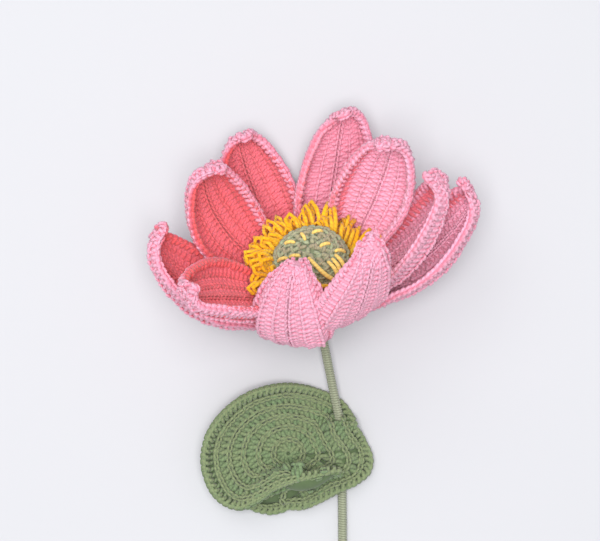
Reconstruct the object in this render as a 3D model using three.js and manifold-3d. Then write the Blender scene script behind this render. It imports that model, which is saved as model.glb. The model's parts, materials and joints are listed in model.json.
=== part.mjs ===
// A crocheted lotus on a wired stem, lying on a table as it comes to rest.
// Millimetres, +Z up. The stem runs along -Y, and the bloom opens up and towards +Y.
// The finished part has its origin at the bottom centre of its bounding box.
import * as THREE from "three";
import { mergeVertices } from "three/addons/utils/BufferGeometryUtils.js";
import Module from "manifold-3d";

const wasm = await Module();
wasm.setup();

// Fabric and yarn
const FABRIC = 3.6; // thickness of crocheted fabric at the crest of a row
const ROW_RELIEF = 0.45; // depth of the groove between two rows, on each face
const FIT_GAP = 0.3; // clearance between pieces that touch
const YARN = 2.8; // a loop of the yellow yarn, its two strands side by side

// Bloom: its axis leans this far from upright, and this far to the left
const HEAD_TILT = THREE.MathUtils.degToRad(40);
const HEAD_LEAN = THREE.MathUtils.degToRad(8);

// Every petal is worked to one pattern
const PETAL_LENGTH = 99; // along its middle, from root to tip
const PETAL_HALF_WIDTH = 23; // along the fabric, from the midrib to the edge
const PETAL_ROOT_SHARE = 0.27; // half width at the root, as a share of the widest
const PETAL_TIP_HALF_WIDTH = 1.6;
const PETAL_WIDEST_AT = 0.52; // share of the length
const PETAL_TAPER = 0.95; // a greater power makes a more pointed tip
const PETAL_ROWS = 3; // crocheted rows on each side of the midrib
const PETAL_STEPS = 9; // facets along the length
const PETAL_CUP = THREE.MathUtils.degToRad(10); // gentle hollow across the middle
const PETAL_WALL = THREE.MathUtils.degToRad(58); // how far the outer row turns up
const PETAL_HOOD = THREE.MathUtils.degToRad(80); // how far the tip hooks inwards
const PETAL_HOOD_FROM = 0.8; // share of the length where the hook starts
const TIER_STEP = FABRIC + 2 * FIT_GAP; // height between layers of petals at the pod

// How each petal is set: azimuth round the axis, rise at the root, rise at the tip, roll about
// its own length (degrees), sideways sway of the tip (mm), and the layer that it is sewn to.
const PETALS = [
  { azimuth: 76, rise: 10, reach: 80, roll: 22, sway: -10, tier: 1 },
  { azimuth: 40, rise: 32, reach: 99, roll: 18, sway: -12, tier: 2 },
  { azimuth: 2, rise: 17, reach: 86, roll: -10, sway: 6, tier: 1 },
  { azimuth: 1, rise: 7, reach: 64, roll: 5, sway: 16, tier: 0 },
  { azimuth: -76, rise: 22, reach: 117, roll: 7, sway: 20, tier: 2 },
  { azimuth: -110, rise: 3, reach: 154, roll: 1, sway: 4, tier: 1 },
  { azimuth: -155, rise: 43, reach: 50, roll: -2, sway: 20, tier: 2 },
  { azimuth: -176, rise: 2, reach: 85, roll: -12, sway: -18, tier: 0 },
  { azimuth: 146, rise: 8, reach: 113, roll: -18, sway: -5, tier: 2 },
  { azimuth: 115, rise: 8, reach: 83, roll: 0, sway: -5, tier: 0 },
];

// Seed pod: a stuffed crocheted cover, and the petals are sewn round its foot
const POD_FOOT_RADIUS = 12;
const POD_FOOT_DEPTH = 5; // how far the pod reaches below the lowest layer of petals
const POD_RADIUS = 18.6;
const POD_HEIGHT = 44.5;
const POD_SHOULDER = 34; // height of the widest round
const POD_SEGMENTS = 20;
const POD_ROUNDS = 8; // crocheted rounds from the foot to the middle of the top
const POD_WALL = 3;

// Yellow fringe round the pod, and the seeds embroidered on its top
const FRINGE_FOOT = 15; // height of the band
const FRINGE_BAND_HEIGHT = 3;
const FRINGE_COUNT = 32;
const FRINGE_REACH = 32; // radius that the strands flare out to
const FRINGE_TOP = 43; // height of their ends
const FRINGE_STRAY = 4; // strands that lean in over the pod
const SEED_LENGTH = 5;
const SEED_RADIUS = 0.9;
// Where each seed lies on the pod's top, and how far it is turned from running round the axis
const SEEDS = [
  { radius: 10.2, azimuth: 155, turn: -82 },
  { radius: 6.9, azimuth: 110, turn: 88 },
  { radius: 9.9, azimuth: 61, turn: 44 },
  { radius: 7.5, azimuth: -5, turn: -67 },
  { radius: 9.1, azimuth: -147, turn: 44 },
  { radius: 14.2, azimuth: -164, turn: 55 },
  { radius: 14.6, azimuth: -14, turn: -58 },
];

// Stem: a wire in a sleeve of wound yarn
const WIRE_RADIUS = 1.1;
const SLEEVE_RADIUS = 2.4;
const WIRE_IN_POD = 16; // how far the wire reaches up into the pod
const STEM_STEPS = 40;
const STEM_END = -232; // how far along Y the cut end lies from the bloom
// Points that the stem is bent through below the bloom: across, along, and height over the table
const STEM_BENDS = [
  [3, -17.5, 9],
  [5.5, -30, 7.6],
  [8.5, -45, 7.1],
  [11.5, -60, 5.6],
  [12.7, -77, 3.4],
  [13, -95, 2.6],
  [13.2, -120, SLEEVE_RADIUS],
  [13, -160, SLEEVE_RADIUS],
  [12, -200, SLEEVE_RADIUS],
];

// Leaf: a round worked from the middle, cupped, with one deep pleat at the front edge
const LEAF_CENTRE = [-14.5, -77, 2.3];
const LEAF_RADIUS = 40; // of the flat round, before its rim is bent
const LEAF_ROUNDS = 5;
const LEAF_SPOKES = 41;
const LEAF_STEM_CLEARANCE = 0.7; // between the stem and the leaf that lies over it
const LEAF_RIDGE_RADIUS = 9; // how sharply the leaf bends over the stem
const LEAF_RIDGE_START = -54; // how far along Y the leaf starts to lie on the stem
// The rim, anticlockwise from the right: across, along, height over the table
const LEAF_RIM = [
  [28, -79, 4],
  [24.5, -71, 3],
  [19.5, -63, 2.4],
  [17.2, -56.5, 2.2],
  [12.4, -50.4, 2.1],
  [4.6, -46.4, 2.4],
  [-6, -43, 5.5],
  [-18.9, -42, 9.5],
  [-34.6, -46.2, 13],
  [-47.2, -55.3, 15],
  [-55.2, -67, 16],
  [-57.6, -79.4, 16],
  [-55, -90.9, 15.5],
  [-49.4, -99.4, 14.5],
  [-40, -103.4, 14],
  [-31, -99.5, 15.5],
  [-22, -93.5, 17],
  [-12.5, -89.5, 18],
  [0.3, -86, 19.6],
  [8.5, -84.6, 18.8],
  [12.5, -85.8, 15.4],
  [8, -87.4, 12.4],
  [-4, -90.6, 11.2],
  [-18, -95, 10],
  [-29, -99, 8.6],
  [-36, -102, 6.4],
  [-31, -105.6, 4],
  [-23, -106.8, 3.4],
  [-15, -104.9, 3.6],
  [-7, -104.6, 4.4],
  [2, -100.8, 6],
  [11, -95.8, 7.6],
  [21.3, -91, 6.4],
  [27, -86, 5],
];
// The pleat, as shares of the rim, and the direction in the flat round where it begins
const LEAF_PLEAT = { from: 0.449, to: 0.86, turn: 213 };

const { clamp, degToRad, lerp } = THREE.MathUtils;

function smooth(x) {
  const t = clamp(x, 0, 1);
  return t * t * (3 - 2 * t);
}

// A closed geometry as a solid for cutting and joining
function solid(geometry) {
  const bare = new THREE.BufferGeometry();
  bare.setAttribute("position", geometry.getAttribute("position"));
  if (geometry.index) bare.setIndex(geometry.index);
  const merged = mergeVertices(bare, 1e-3);
  const mesh = new wasm.Mesh({
    numProp: 3,
    vertProperties: new Float32Array(merged.attributes.position.array),
    triVerts: new Uint32Array(merged.index.array),
  });
  return new wasm.Manifold(mesh);
}

// The largest body of a solid as a geometry
function geometryOf(made) {
  const bodies = made.decompose().sort((a, b) => b.volume() - a.volume());
  const mesh = bodies[0].getMesh();
  const geometry = new THREE.BufferGeometry();
  geometry.setAttribute("position", new THREE.BufferAttribute(mesh.vertProperties, 3));
  geometry.setIndex(new THREE.BufferAttribute(mesh.triVerts, 1));
  return geometry;
}

// A sheet of fabric from a grid of points on its middle surface. grid[i][j] is a point, thick(j, i)
// its thickness there. Where wrap is true the j direction closes on itself, and the i = 0 row is one point.
function sheet(grid, thick, wrap) {
  const rows = grid.length;
  const columns = grid[0].length;
  const at = (i, j) => grid[clamp(i, 0, rows - 1)][wrap ? (j + columns) % columns : clamp(j, 0, columns - 1)];
  const along = new THREE.Vector3();
  const across = new THREE.Vector3();
  const vertices = [];
  const faces = [];
  const normalAt = (i, j) => {
    along.subVectors(at(i + 1, j), at(i - 1, j));
    across.subVectors(at(i, j + 1), at(i, j - 1));
    return along.clone().cross(across).normalize();
  };
  const first = wrap ? 1 : 0;
  for (const side of [1, -1])
    for (let i = first; i < rows; i++)
      for (let j = 0; j < columns; j++) {
        const point = at(i, j).clone().addScaledVector(normalAt(i, j), (side * thick(j, i)) / 2);
        vertices.push(point.x, point.y, point.z);
      }
  const layer = (rows - first) * columns;
  const top = (i, j) => (i - first) * columns + ((j + columns) % columns);
  const bottom = (i, j) => layer + top(i, j);
  const quad = (a, b, c, d) => faces.push(a, b, c, a, c, d);
  const last = wrap ? columns : columns - 1;
  for (let i = first; i < rows - 1; i++)
    for (let j = 0; j < last; j++) {
      quad(top(i, j), top(i + 1, j), top(i + 1, j + 1), top(i, j + 1));
      quad(bottom(i, j), bottom(i, j + 1), bottom(i + 1, j + 1), bottom(i + 1, j));
    }
  for (let j = 0; j < last; j++) {
    quad(top(rows - 1, j), bottom(rows - 1, j), bottom(rows - 1, j + 1), top(rows - 1, j + 1));
    if (!wrap) quad(top(0, j), top(0, j + 1), bottom(0, j + 1), bottom(0, j));
  }
  if (wrap) {
    const up = new THREE.Vector3(0, 0, 1);
    const poles = [1, -1].map((side) => at(0, 0).clone().addScaledVector(up, (side * thick(0, 0)) / 2));
    for (const pole of poles) vertices.push(pole.x, pole.y, pole.z);
    // The pole on the side that the normals point to closes the top layer
    const topPole = normalAt(1, 0).z > 0 ? 2 * layer : 2 * layer + 1;
    const bottomPole = 4 * layer + 1 - topPole;
    for (let j = 0; j < columns; j++) {
      faces.push(topPole, top(first, j), top(first, j + 1));
      faces.push(bottomPole, bottom(first, j + 1), bottom(first, j));
    }
  } else {
    for (let i = 0; i < rows - 1; i++) {
      quad(top(i, 0), bottom(i, 0), bottom(i + 1, 0), top(i + 1, 0));
      const j = columns - 1;
      quad(top(i, j), top(i + 1, j), bottom(i + 1, j), bottom(i, j));
    }
  }
  const geometry = new THREE.BufferGeometry();
  geometry.setAttribute("position", new THREE.Float32BufferAttribute(vertices, 3));
  geometry.setIndex(faces);
  if (solid(geometry).volume() < 0) {
    for (let k = 0; k < faces.length; k += 3) [faces[k + 1], faces[k + 2]] = [faces[k + 2], faces[k + 1]];
    geometry.setIndex(faces);
  }
  return geometry;
}

// A closed strand along a list of points, with a radius at each share of its length
function strand(points, radiusAt, sides, steps) {
  const curve = new THREE.CatmullRomCurve3(points);
  const frames = curve.computeFrenetFrames(steps, false);
  const vertices = [];
  const faces = [];
  for (let i = 0; i <= steps; i++) {
    const middle = curve.getPointAt(i / steps);
    for (let k = 0; k < sides; k++) {
      const turn = (2 * Math.PI * k) / sides;
      const radius = radiusAt(i / steps);
      const point = middle
        .clone()
        .addScaledVector(frames.normals[i], radius * Math.cos(turn))
        .addScaledVector(frames.binormals[i], radius * Math.sin(turn));
      vertices.push(point.x, point.y, point.z);
    }
  }
  for (let i = 0; i < steps; i++)
    for (let k = 0; k < sides; k++) {
      const a = i * sides + k;
      const b = i * sides + ((k + 1) % sides);
      faces.push(a, b, b + sides, a, b + sides, a + sides);
    }
  for (let k = 1; k < sides - 1; k++) {
    faces.push(0, k + 1, k);
    const end = steps * sides;
    faces.push(end, end + k, end + k + 1);
  }
  const geometry = new THREE.BufferGeometry();
  geometry.setAttribute("position", new THREE.Float32BufferAttribute(vertices, 3));
  geometry.setIndex(faces);
  return geometry;
}

// Half width of a petal's flat pattern at a share u of its length
function petalHalfWidth(u, halfWidth) {
  if (u < PETAL_WIDEST_AT) {
    const rising = Math.sin((Math.PI / 2) * (u / PETAL_WIDEST_AT));
    return halfWidth * lerp(PETAL_ROOT_SHARE, 1, rising);
  }
  const t = (u - PETAL_WIDEST_AT) / (1 - PETAL_WIDEST_AT);
  return Math.max(PETAL_TIP_HALF_WIDTH, halfWidth * (1 - t * t) ** PETAL_TAPER);
}

// The middle surface of a petal, in the bloom's frame: rows of points across, from root to tip
function petalGrid(pose, halfWidth) {
  const root = POD_FOOT_RADIUS + FIT_GAP + (FABRIC / 2) * Math.sin(degToRad(pose.rise));
  const columns = 4 * PETAL_ROWS + 1;
  const middle = (columns - 1) / 2;
  const fine = 8; // steps of integration to one facet
  const grid = [];
  let out = root;
  let up = pose.tier * TIER_STEP;
  let passed = 0;
  const angleAt = (u) => {
    const hook = PETAL_HOOD * smooth((u - PETAL_HOOD_FROM) / (1 - PETAL_HOOD_FROM));
    return degToRad(lerp(pose.rise, pose.reach, u)) + hook;
  };
  for (let i = 0; i <= PETAL_STEPS; i++) {
    const u = 1 - (1 - i / PETAL_STEPS) ** 1.3;
    for (let k = 0; k < fine; k++) {
      const length = ((u - passed) * PETAL_LENGTH) / fine;
      const angle = angleAt(lerp(passed, u, (k + 0.5) / fine));
      out += length * Math.cos(angle);
      up += length * Math.sin(angle);
    }
    passed = u;
    const angle = angleAt(u);
    const roll = degToRad(pose.roll) * smooth(u / 0.6);
    const spine = new THREE.Vector3(out, pose.sway * u * u, up);
    const inward = new THREE.Vector3(-Math.sin(angle), 0, Math.cos(angle));
    const side = new THREE.Vector3(0, Math.cos(roll), 0).addScaledVector(inward, Math.sin(roll));
    const rise = inward.clone().multiplyScalar(Math.cos(roll)).add(new THREE.Vector3(0, -Math.sin(roll), 0));
    const width = petalHalfWidth(u, halfWidth);
    const flatten = smooth((u + 0.02) / 0.35);
    const row = [];
    row[middle] = spine.clone();
    let x = 0;
    let z = 0;
    for (let j = 1; j <= middle; j++) {
      const v = (j - 0.5) / middle;
      const slope = flatten * (PETAL_CUP * v + PETAL_WALL * smooth((v - 0.48) / 0.26));
      x += (Math.cos(slope) * width) / middle;
      z += (Math.sin(slope) * width) / middle;
      row[middle + j] = spine.clone().addScaledVector(side, x).addScaledVector(rise, z);
      row[middle - j] = spine.clone().addScaledVector(side, -x).addScaledVector(rise, z);
    }
    grid.push(row.map((point) => point.applyAxisAngle(new THREE.Vector3(0, 0, 1), degToRad(pose.azimuth))));
  }
  return grid;
}

// Thickness across a petal: each row swells between the grooves on its two sides
const rowThickness = (spare) => (j) => FABRIC + spare - (j % 2 === 0 ? 2 * ROW_RELIEF : 0);

function petalSolid(pose, spare) {
  return solid(sheet(petalGrid(pose, PETAL_HALF_WIDTH + spare / 2), rowThickness(spare), false));
}

// Petals press against each other: each is cut back to clear those that lie inside it
function petalSolids() {
  const order = PETALS.map((pose, index) => ({ pose, index })).sort((a, b) => b.pose.tier - a.pose.tier);
  const made = [];
  const taken = [];
  for (const { pose, index } of order) {
    let petal = petalSolid(pose, 0);
    for (const other of taken) petal = petal.subtract(other);
    made[index] = petal;
    taken.push(petalSolid(pose, 2 * FIT_GAP));
  }
  return made;
}

// Outer profile of the pod as [radius, height], from the foot to the middle of the top
function podProfile() {
  const points = [];
  const foot = [SLEEVE_RADIUS + FIT_GAP, -POD_FOOT_DEPTH];
  const shape = new THREE.CatmullRomCurve3(
    [
      [POD_FOOT_RADIUS - 2.4, -POD_FOOT_DEPTH + 0.6],
      [POD_FOOT_RADIUS, -POD_FOOT_DEPTH + 3.4],
      [POD_FOOT_RADIUS, 2 * TIER_STEP + FABRIC / 2],
      [lerp(POD_FOOT_RADIUS, POD_RADIUS, 0.65), POD_SHOULDER - 12],
      [POD_RADIUS, POD_SHOULDER],
      [POD_RADIUS - 2.6, POD_HEIGHT - 4.6],
      [POD_RADIUS - 8.6, POD_HEIGHT - 1.2],
      [0, POD_HEIGHT],
    ].map(([r, h]) => new THREE.Vector3(r, h, 0)),
  );
  points.push(foot);
  for (let k = 0; k <= 2 * POD_ROUNDS; k++) {
    const point = shape.getPointAt(k / (2 * POD_ROUNDS));
    // Grooves between rounds, left out along the foot where the petals are sewn
    const groove = k % 2 === 0 && point.y > FRINGE_FOOT ? ROW_RELIEF : 0;
    const tangent = shape.getTangentAt(k / (2 * POD_ROUNDS));
    points.push([Math.max(0, point.x - groove * tangent.y), point.y + groove * tangent.x]);
  }
  points[points.length - 1] = [0, POD_HEIGHT - ROW_RELIEF];
  return points;
}

// Radius of the pod at a height
function podRadius(height) {
  const profile = podProfile();
  let found = profile[0][0];
  for (let k = 1; k < profile.length; k++) {
    const [r0, h0] = profile[k - 1];
    const [r1, h1] = profile[k];
    if (height >= h0 && height <= h1) found = Math.max(found, lerp(r0, r1, (height - h0) / (h1 - h0 || 1)));
  }
  return found;
}

// Height of the pod's top surface at a distance from its axis
function podTop(radius) {
  const profile = podProfile().reverse();
  for (let k = 1; k < profile.length; k++) {
    const [r0, h0] = profile[k - 1];
    const [r1, h1] = profile[k];
    if (radius >= r0 && radius <= r1) return lerp(h0, h1, (radius - r0) / (r1 - r0 || 1));
  }
  return POD_SHOULDER;
}

// The same profile drawn in by a depth, with its ends on the axis or the stem's hole
function insetProfile(depth, hole) {
  const outer = podProfile();
  const inset = [];
  for (let k = 1; k < outer.length - 1; k += 3) {
    const [r0, h0] = outer[k - 1];
    const [r1, h1] = outer[k + 1];
    const length = Math.hypot(r1 - r0, h1 - h0);
    const radius = outer[k][0] - (depth * (h1 - h0)) / length;
    const height = outer[k][1] + (depth * (r1 - r0)) / length;
    if (radius > hole + 1) inset.push([radius, Math.max(height, depth - POD_FOOT_DEPTH)]);
  }
  inset.push([0, POD_HEIGHT - ROW_RELIEF - depth]);
  return inset;
}

function lathe(profile, segments) {
  const geometry = new THREE.LatheGeometry(
    profile.map(([r, h]) => new THREE.Vector2(r, h)),
    segments,
  );
  geometry.rotateX(Math.PI / 2);
  return solid(geometry);
}

function podCover() {
  const hole = SLEEVE_RADIUS + FIT_GAP;
  const inner = insetProfile(POD_WALL, hole).reverse();
  return lathe([...podProfile(), ...inner, [hole, POD_WALL - POD_FOOT_DEPTH], podProfile()[0]], POD_SEGMENTS);
}

function podStuffing() {
  const hole = WIRE_RADIUS + FIT_GAP;
  const depth = POD_WALL + FIT_GAP;
  const bottom = depth - POD_FOOT_DEPTH;
  const wireTop = WIRE_IN_POD + FIT_GAP;
  const wide = SLEEVE_RADIUS + FIT_GAP;
  const neck = 1 + FIT_GAP; // the sleeve ends this far above the pod's foot
  return lathe(
    [
      [0, wireTop],
      [hole, wireTop],
      [hole, neck],
      [wide, neck],
      [wide, bottom],
      ...insetProfile(depth, hole),
    ],
    POD_SEGMENTS / 2,
  );
}

const polar = (radius, azimuth, height) =>
  new THREE.Vector3(radius * Math.cos(azimuth), radius * Math.sin(azimuth), height);

// A spread of shares between 0 and 1 that never lines up with its neighbours
const scatter = (k) => (k * 0.618) % 1;

function fringe() {
  const inner = podRadius(FRINGE_FOOT + FRINGE_BAND_HEIGHT) + FIT_GAP;
  const outer = inner + YARN;
  const top = FRINGE_FOOT + FRINGE_BAND_HEIGHT;
  let made = lathe(
    [
      [inner, FRINGE_FOOT],
      [outer, FRINGE_FOOT],
      [outer, top],
      [inner, top],
      [inner, FRINGE_FOOT],
    ],
    POD_SEGMENTS,
  );
  const root = outer - 0.45 * YARN;
  for (let k = 0; k < FRINGE_COUNT; k++) {
    const azimuth = (2 * Math.PI * k) / FRINGE_COUNT;
    const flare = FRINGE_REACH - 4 * scatter(k);
    const height = FRINGE_TOP - 5 * scatter(3 * k + 1);
    const points = [
      polar(root, azimuth, top - 0.6 * YARN),
      polar(lerp(root, flare, 0.3), azimuth, lerp(top, height, 0.4)),
      polar(lerp(root, flare, 0.65), azimuth, lerp(top, height, 0.8)),
      polar(flare, azimuth, height),
    ];
    made = made.add(solid(strand(points, (t) => YARN * (0.5 - 0.2 * t), 4, 2)));
  }
  for (let k = 0; k < FRINGE_STRAY; k++) {
    const azimuth = degToRad(-66 + 9 * k);
    const clear = YARN / 2 + FIT_GAP;
    const points = [
      polar(root, azimuth, top - 0.6 * YARN),
      polar(podRadius(POD_SHOULDER - 8) + clear + 1.2, azimuth, POD_SHOULDER - 8),
      polar(POD_RADIUS + clear + 0.4, azimuth, POD_SHOULDER + 1.5),
      polar(POD_RADIUS - 1.4, azimuth, POD_HEIGHT - 2.6 + clear),
      polar(POD_RADIUS - 9 + 1.6 * k, azimuth, podTop(POD_RADIUS - 9) + clear + 0.5),
    ];
    made = made.add(solid(strand(points, () => YARN * 0.4, 4, 7)));
  }
  return made;
}

// One embroidered seed, a short bar of yarn lying on the pod's top
function seed(radius, azimuth, turn) {
  const middle = polar(radius, azimuth, podTop(radius));
  const lift = SEED_RADIUS + FIT_GAP + ROW_RELIEF;
  const across = polar(1, azimuth + Math.PI / 2 + turn, 0);
  const points = [-0.5, 0, 0.5].map((share) => {
    const point = middle.clone().addScaledVector(across, share * SEED_LENGTH);
    const reach = Math.hypot(point.x, point.y);
    point.z = podTop(reach) + lift;
    return point;
  });
  return strand(points, (t) => SEED_RADIUS * (0.65 + 0.35 * Math.sin(Math.PI * t)), 5, 3);
}

// Petals come first, because the lowest of them sets how high the bloom lies over the table
const headTurn = new THREE.Euler(-HEAD_TILT, 0, HEAD_LEAN, "ZXY");
const petals = petalSolids().map((made) => geometryOf(made));
const headHeight = petals.reduce((height, geometry) => {
  const turned = geometry.clone().applyMatrix4(new THREE.Matrix4().makeRotationFromEuler(headTurn));
  turned.computeBoundingBox();
  return Math.max(height, -turned.boundingBox.min.z);
}, 0);

const axis = new THREE.Vector3(0, 0, 1).applyEuler(headTurn);
const base = new THREE.Vector3(0, 0, headHeight);
const alongAxis = (distance) => base.clone().addScaledVector(axis, distance);

// The stem's middle line, from a height in the pod to the cut end
function stemCurve(start) {
  const bends = STEM_BENDS.map((point) => new THREE.Vector3(...point));
  const end = new THREE.Vector3(11, STEM_END, SLEEVE_RADIUS);
  return new THREE.CatmullRomCurve3([alongAxis(start), alongAxis(-6), alongAxis(-13), ...bends, end]);
}

function ring(radius, hole) {
  const shape = new THREE.Shape().absarc(0, 0, radius, 0, 2 * Math.PI, false);
  if (hole) shape.holes.push(new THREE.Path().absarc(0, 0, hole, 0, 2 * Math.PI, true));
  return shape;
}

const stemLine = stemCurve(WIRE_IN_POD);

function alongStem(shape, curveSegments) {
  return new THREE.ExtrudeGeometry(shape, { steps: STEM_STEPS, curveSegments, extrudePath: stemLine });
}

// The sleeve of yarn, which ends a little way inside the pod
function sleeve(shape) {
  return solid(alongStem(shape, 3)).trimByPlane(axis.clone().negate().toArray(), -alongAxis(0).dot(axis));
}

// The stem's middle at a distance along Y, for what lies over it
const stemPoints = stemLine.getSpacedPoints(400);
function stemAt(y) {
  const past = stemPoints.findIndex((point) => point.y < y);
  const [a, b] = [stemPoints[past - 1], stemPoints[past]];
  return a.clone().lerp(b, (a.y - y) / (a.y - b.y));
}

// The leaf's middle surface: grid[i][j] runs from the middle outwards, and round the rim. In the pleat
// the layers part in height before they slide over one another.
function leafGrid() {
  const centre = new THREE.Vector3(...LEAF_CENTRE);
  const rim = new THREE.CatmullRomCurve3(
    LEAF_RIM.map((point) => new THREE.Vector3(...point)),
    true,
  ).getSpacedPoints(LEAF_SPOKES);
  const rings = 2 * LEAF_ROUNDS;
  const grid = [];
  for (let i = 0; i <= rings; i++) {
    const q = i / rings;
    const row = [];
    for (let j = 0; j < LEAF_SPOKES; j++) {
      const share = j / LEAF_SPOKES;
      const pleated =
        smooth((share - LEAF_PLEAT.from) / 0.08 + 0.5) * (1 - smooth((share - LEAF_PLEAT.to) / 0.08));
      const edge = rim[j].clone().sub(centre);
      const toEdge = Math.atan2(edge.y, edge.x);
      const flat = leafTurn(share);
      const slide = smooth((q - lerp(0.2, 0.45, pleated)) / lerp(0.8, 0.5, pleated));
      const turn = flat + slide * Math.atan2(Math.sin(toEdge - flat), Math.cos(toEdge - flat));
      const climb = lerp(q ** 2.6, smooth((q - 0.25) / 0.5), pleated);
      const reach = q * lerp(LEAF_RADIUS, Math.hypot(edge.x, edge.y), smooth(q / 0.7));
      const point = polar(reach, turn, edge.z * climb).add(centre);
      point.z = Math.max(point.z, ridgeHeight(point));
      row.push(point);
    }
    grid.push(row);
  }
  return grid;
}

// The direction in the flat round of what comes to lie at a share of the rim. The pleat takes up
// more of the rim than its part of the round would.
function leafTurn(share) {
  const before = share / LEAF_PLEAT.from;
  const past = (share - LEAF_PLEAT.from) / (1 - LEAF_PLEAT.from);
  return degToRad(before < 1 ? lerp(-3, LEAF_PLEAT.turn, before) : lerp(LEAF_PLEAT.turn, 357, past));
}

// Where the leaf lies over the stem it is held up by it
function ridgeHeight(point) {
  const over = smooth((LEAF_RIDGE_START - point.y) / LEAF_RIDGE_RADIUS);
  if (over === 0) return 0;
  const stem = stemAt(Math.max(point.y, STEM_END / 2));
  const away = point.x - stem.x;
  const crest = stem.z + SLEEVE_RADIUS + FABRIC / 2 + LEAF_STEM_CLEARANCE;
  return over * (crest - (away * away) / (2 * LEAF_RIDGE_RADIUS));
}

function leaf() {
  const thickness = (j, i) => FABRIC - (i % 2 === 0 ? 2 * ROW_RELIEF : 0);
  const round = solid(sheet(leafGrid(), thickness, true));
  return round.subtract(sleeve(ring(SLEEVE_RADIUS + FIT_GAP, 0)));
}

// Materials
const yarn = (color) => new THREE.MeshStandardMaterial({ color, roughness: 0.92, metalness: 0 });
const pink = yarn(0xf48ba0);
const yellow = yarn(0xf9b41e);
const podGreen = yarn(0x7f9468);
const leafGreen = yarn(0x84a86c);
const stemGreen = yarn(0xa9b48c);
const fill = yarn(0xf2f0ea);
const steel = new THREE.MeshStandardMaterial({ color: 0x8d8f92, roughness: 0.4, metalness: 0.9 });

function named(name, geometry, material) {
  const mesh = new THREE.Mesh(geometry, material);
  mesh.name = name;
  return mesh;
}

const head = new THREE.Group();
head.rotation.copy(headTurn);
head.position.copy(base);
petals.forEach((geometry, k) => {
  head.add(named("petal_" + String(k + 1).padStart(2, "0"), geometry, pink));
});
head.add(named("pod_cover", geometryOf(podCover()), podGreen));
head.add(named("pod_stuffing", geometryOf(podStuffing()), fill));
head.add(named("stamen_fringe", geometryOf(fringe()), yellow));
SEEDS.forEach(({ radius, azimuth, turn }, k) => {
  head.add(named("seed_stitch_" + (k + 1), seed(radius, degToRad(azimuth), degToRad(turn)), yellow));
});

const flower = new THREE.Group();
flower.add(head);
flower.add(named("stem_wire", alongStem(ring(WIRE_RADIUS, 0), 3), steel));
flower.add(named("stem_sleeve", geometryOf(sleeve(ring(SLEEVE_RADIUS, WIRE_RADIUS + FIT_GAP))), stemGreen));
flower.add(named("leaf", geometryOf(leaf()), leafGreen));

// The origin goes to the bottom centre of the bounding box
flower.updateMatrixWorld(true);
const box = new THREE.Box3().setFromObject(flower, true);
flower.position.set(-(box.min.x + box.max.x) / 2, -(box.min.y + box.max.y) / 2, -box.min.z);

const part = new THREE.Group();
part.add(flower);
export default part;
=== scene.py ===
# %% [markdown]
# A lotus flower, crocheted in yarn
#
# The real object is soft: cupped petals of thick pink crochet are sewn round a stuffed green pod, a
# yellow fringe stands between them, and a wired stem wound with yarn runs through a folded leaf. The
# solids of the frame give every piece its place and its size. This lesson replaces each of them with
# the same shape made of separate strands of yarn, stitch by stitch.

import json
import math

import bpy
import numpy as np
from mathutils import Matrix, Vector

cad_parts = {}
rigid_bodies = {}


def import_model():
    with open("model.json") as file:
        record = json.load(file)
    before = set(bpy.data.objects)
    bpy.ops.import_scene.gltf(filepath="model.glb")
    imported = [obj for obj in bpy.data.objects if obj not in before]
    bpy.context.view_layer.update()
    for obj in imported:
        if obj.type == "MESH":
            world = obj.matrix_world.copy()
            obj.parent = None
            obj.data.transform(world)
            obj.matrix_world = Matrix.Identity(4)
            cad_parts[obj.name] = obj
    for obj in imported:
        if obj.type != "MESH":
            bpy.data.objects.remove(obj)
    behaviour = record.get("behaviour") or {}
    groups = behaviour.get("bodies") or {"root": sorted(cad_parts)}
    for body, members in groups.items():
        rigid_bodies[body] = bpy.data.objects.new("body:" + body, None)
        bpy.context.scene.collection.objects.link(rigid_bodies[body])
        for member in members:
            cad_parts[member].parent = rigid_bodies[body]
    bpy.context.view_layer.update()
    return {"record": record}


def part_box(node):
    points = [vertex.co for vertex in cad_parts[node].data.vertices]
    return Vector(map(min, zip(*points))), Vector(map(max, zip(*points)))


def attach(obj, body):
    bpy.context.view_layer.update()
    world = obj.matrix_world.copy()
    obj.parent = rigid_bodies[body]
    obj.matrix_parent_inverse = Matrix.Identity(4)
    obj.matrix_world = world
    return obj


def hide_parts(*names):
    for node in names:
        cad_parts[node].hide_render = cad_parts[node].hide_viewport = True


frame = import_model()
MM = 0.001

# %% [markdown]
# The bloom is a thing of its own that leans over. It is worked out upright, in millimetres from the
# foot of its axis, and then leaned and moved to its place. The stem's mount in the record gives that
# place from above, and the top of the wire, which ends inside the pod, gives its height.

# %% Place of the bloom
HEAD_TILT = math.radians(40)
HEAD_LEAN = math.radians(8)
WIRE_IN_POD = 16
WIRE_RADIUS = 1.1
STEM_FOOT = (11, -232, 2.4)  # end of the stem, measured from the bloom, and its height


def unit(v):
    return v / np.maximum(np.linalg.norm(v, axis=-1, keepdims=True), 1e-9)


def head_turn():
    c, s = math.cos(HEAD_TILT), math.sin(HEAD_TILT)
    tilt = np.array([[1, 0, 0], [0, c, s], [0, -s, c]])
    c, s = math.cos(HEAD_LEAN), math.sin(HEAD_LEAN)
    return np.array([[c, -s, 0], [s, c, 0], [0, 0, 1]]) @ tilt


HEAD = head_turn()
AXIS = HEAD[:, 2]
stem_end = np.array(frame["record"]["mounts"][0]["pos_m"]) / MM
wire_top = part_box("stem_wire")[1][2] / MM
BLOOM = np.array(
    [
        stem_end[0] - STEM_FOOT[0],
        stem_end[1] - STEM_FOOT[1],
        wire_top - WIRE_IN_POD * AXIS[2] - WIRE_RADIUS * math.sin(HEAD_TILT),
    ]
)


def in_bloom(points):
    """Points of the upright bloom, leaned over and moved to their place."""
    return points @ HEAD.T + BLOOM


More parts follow.
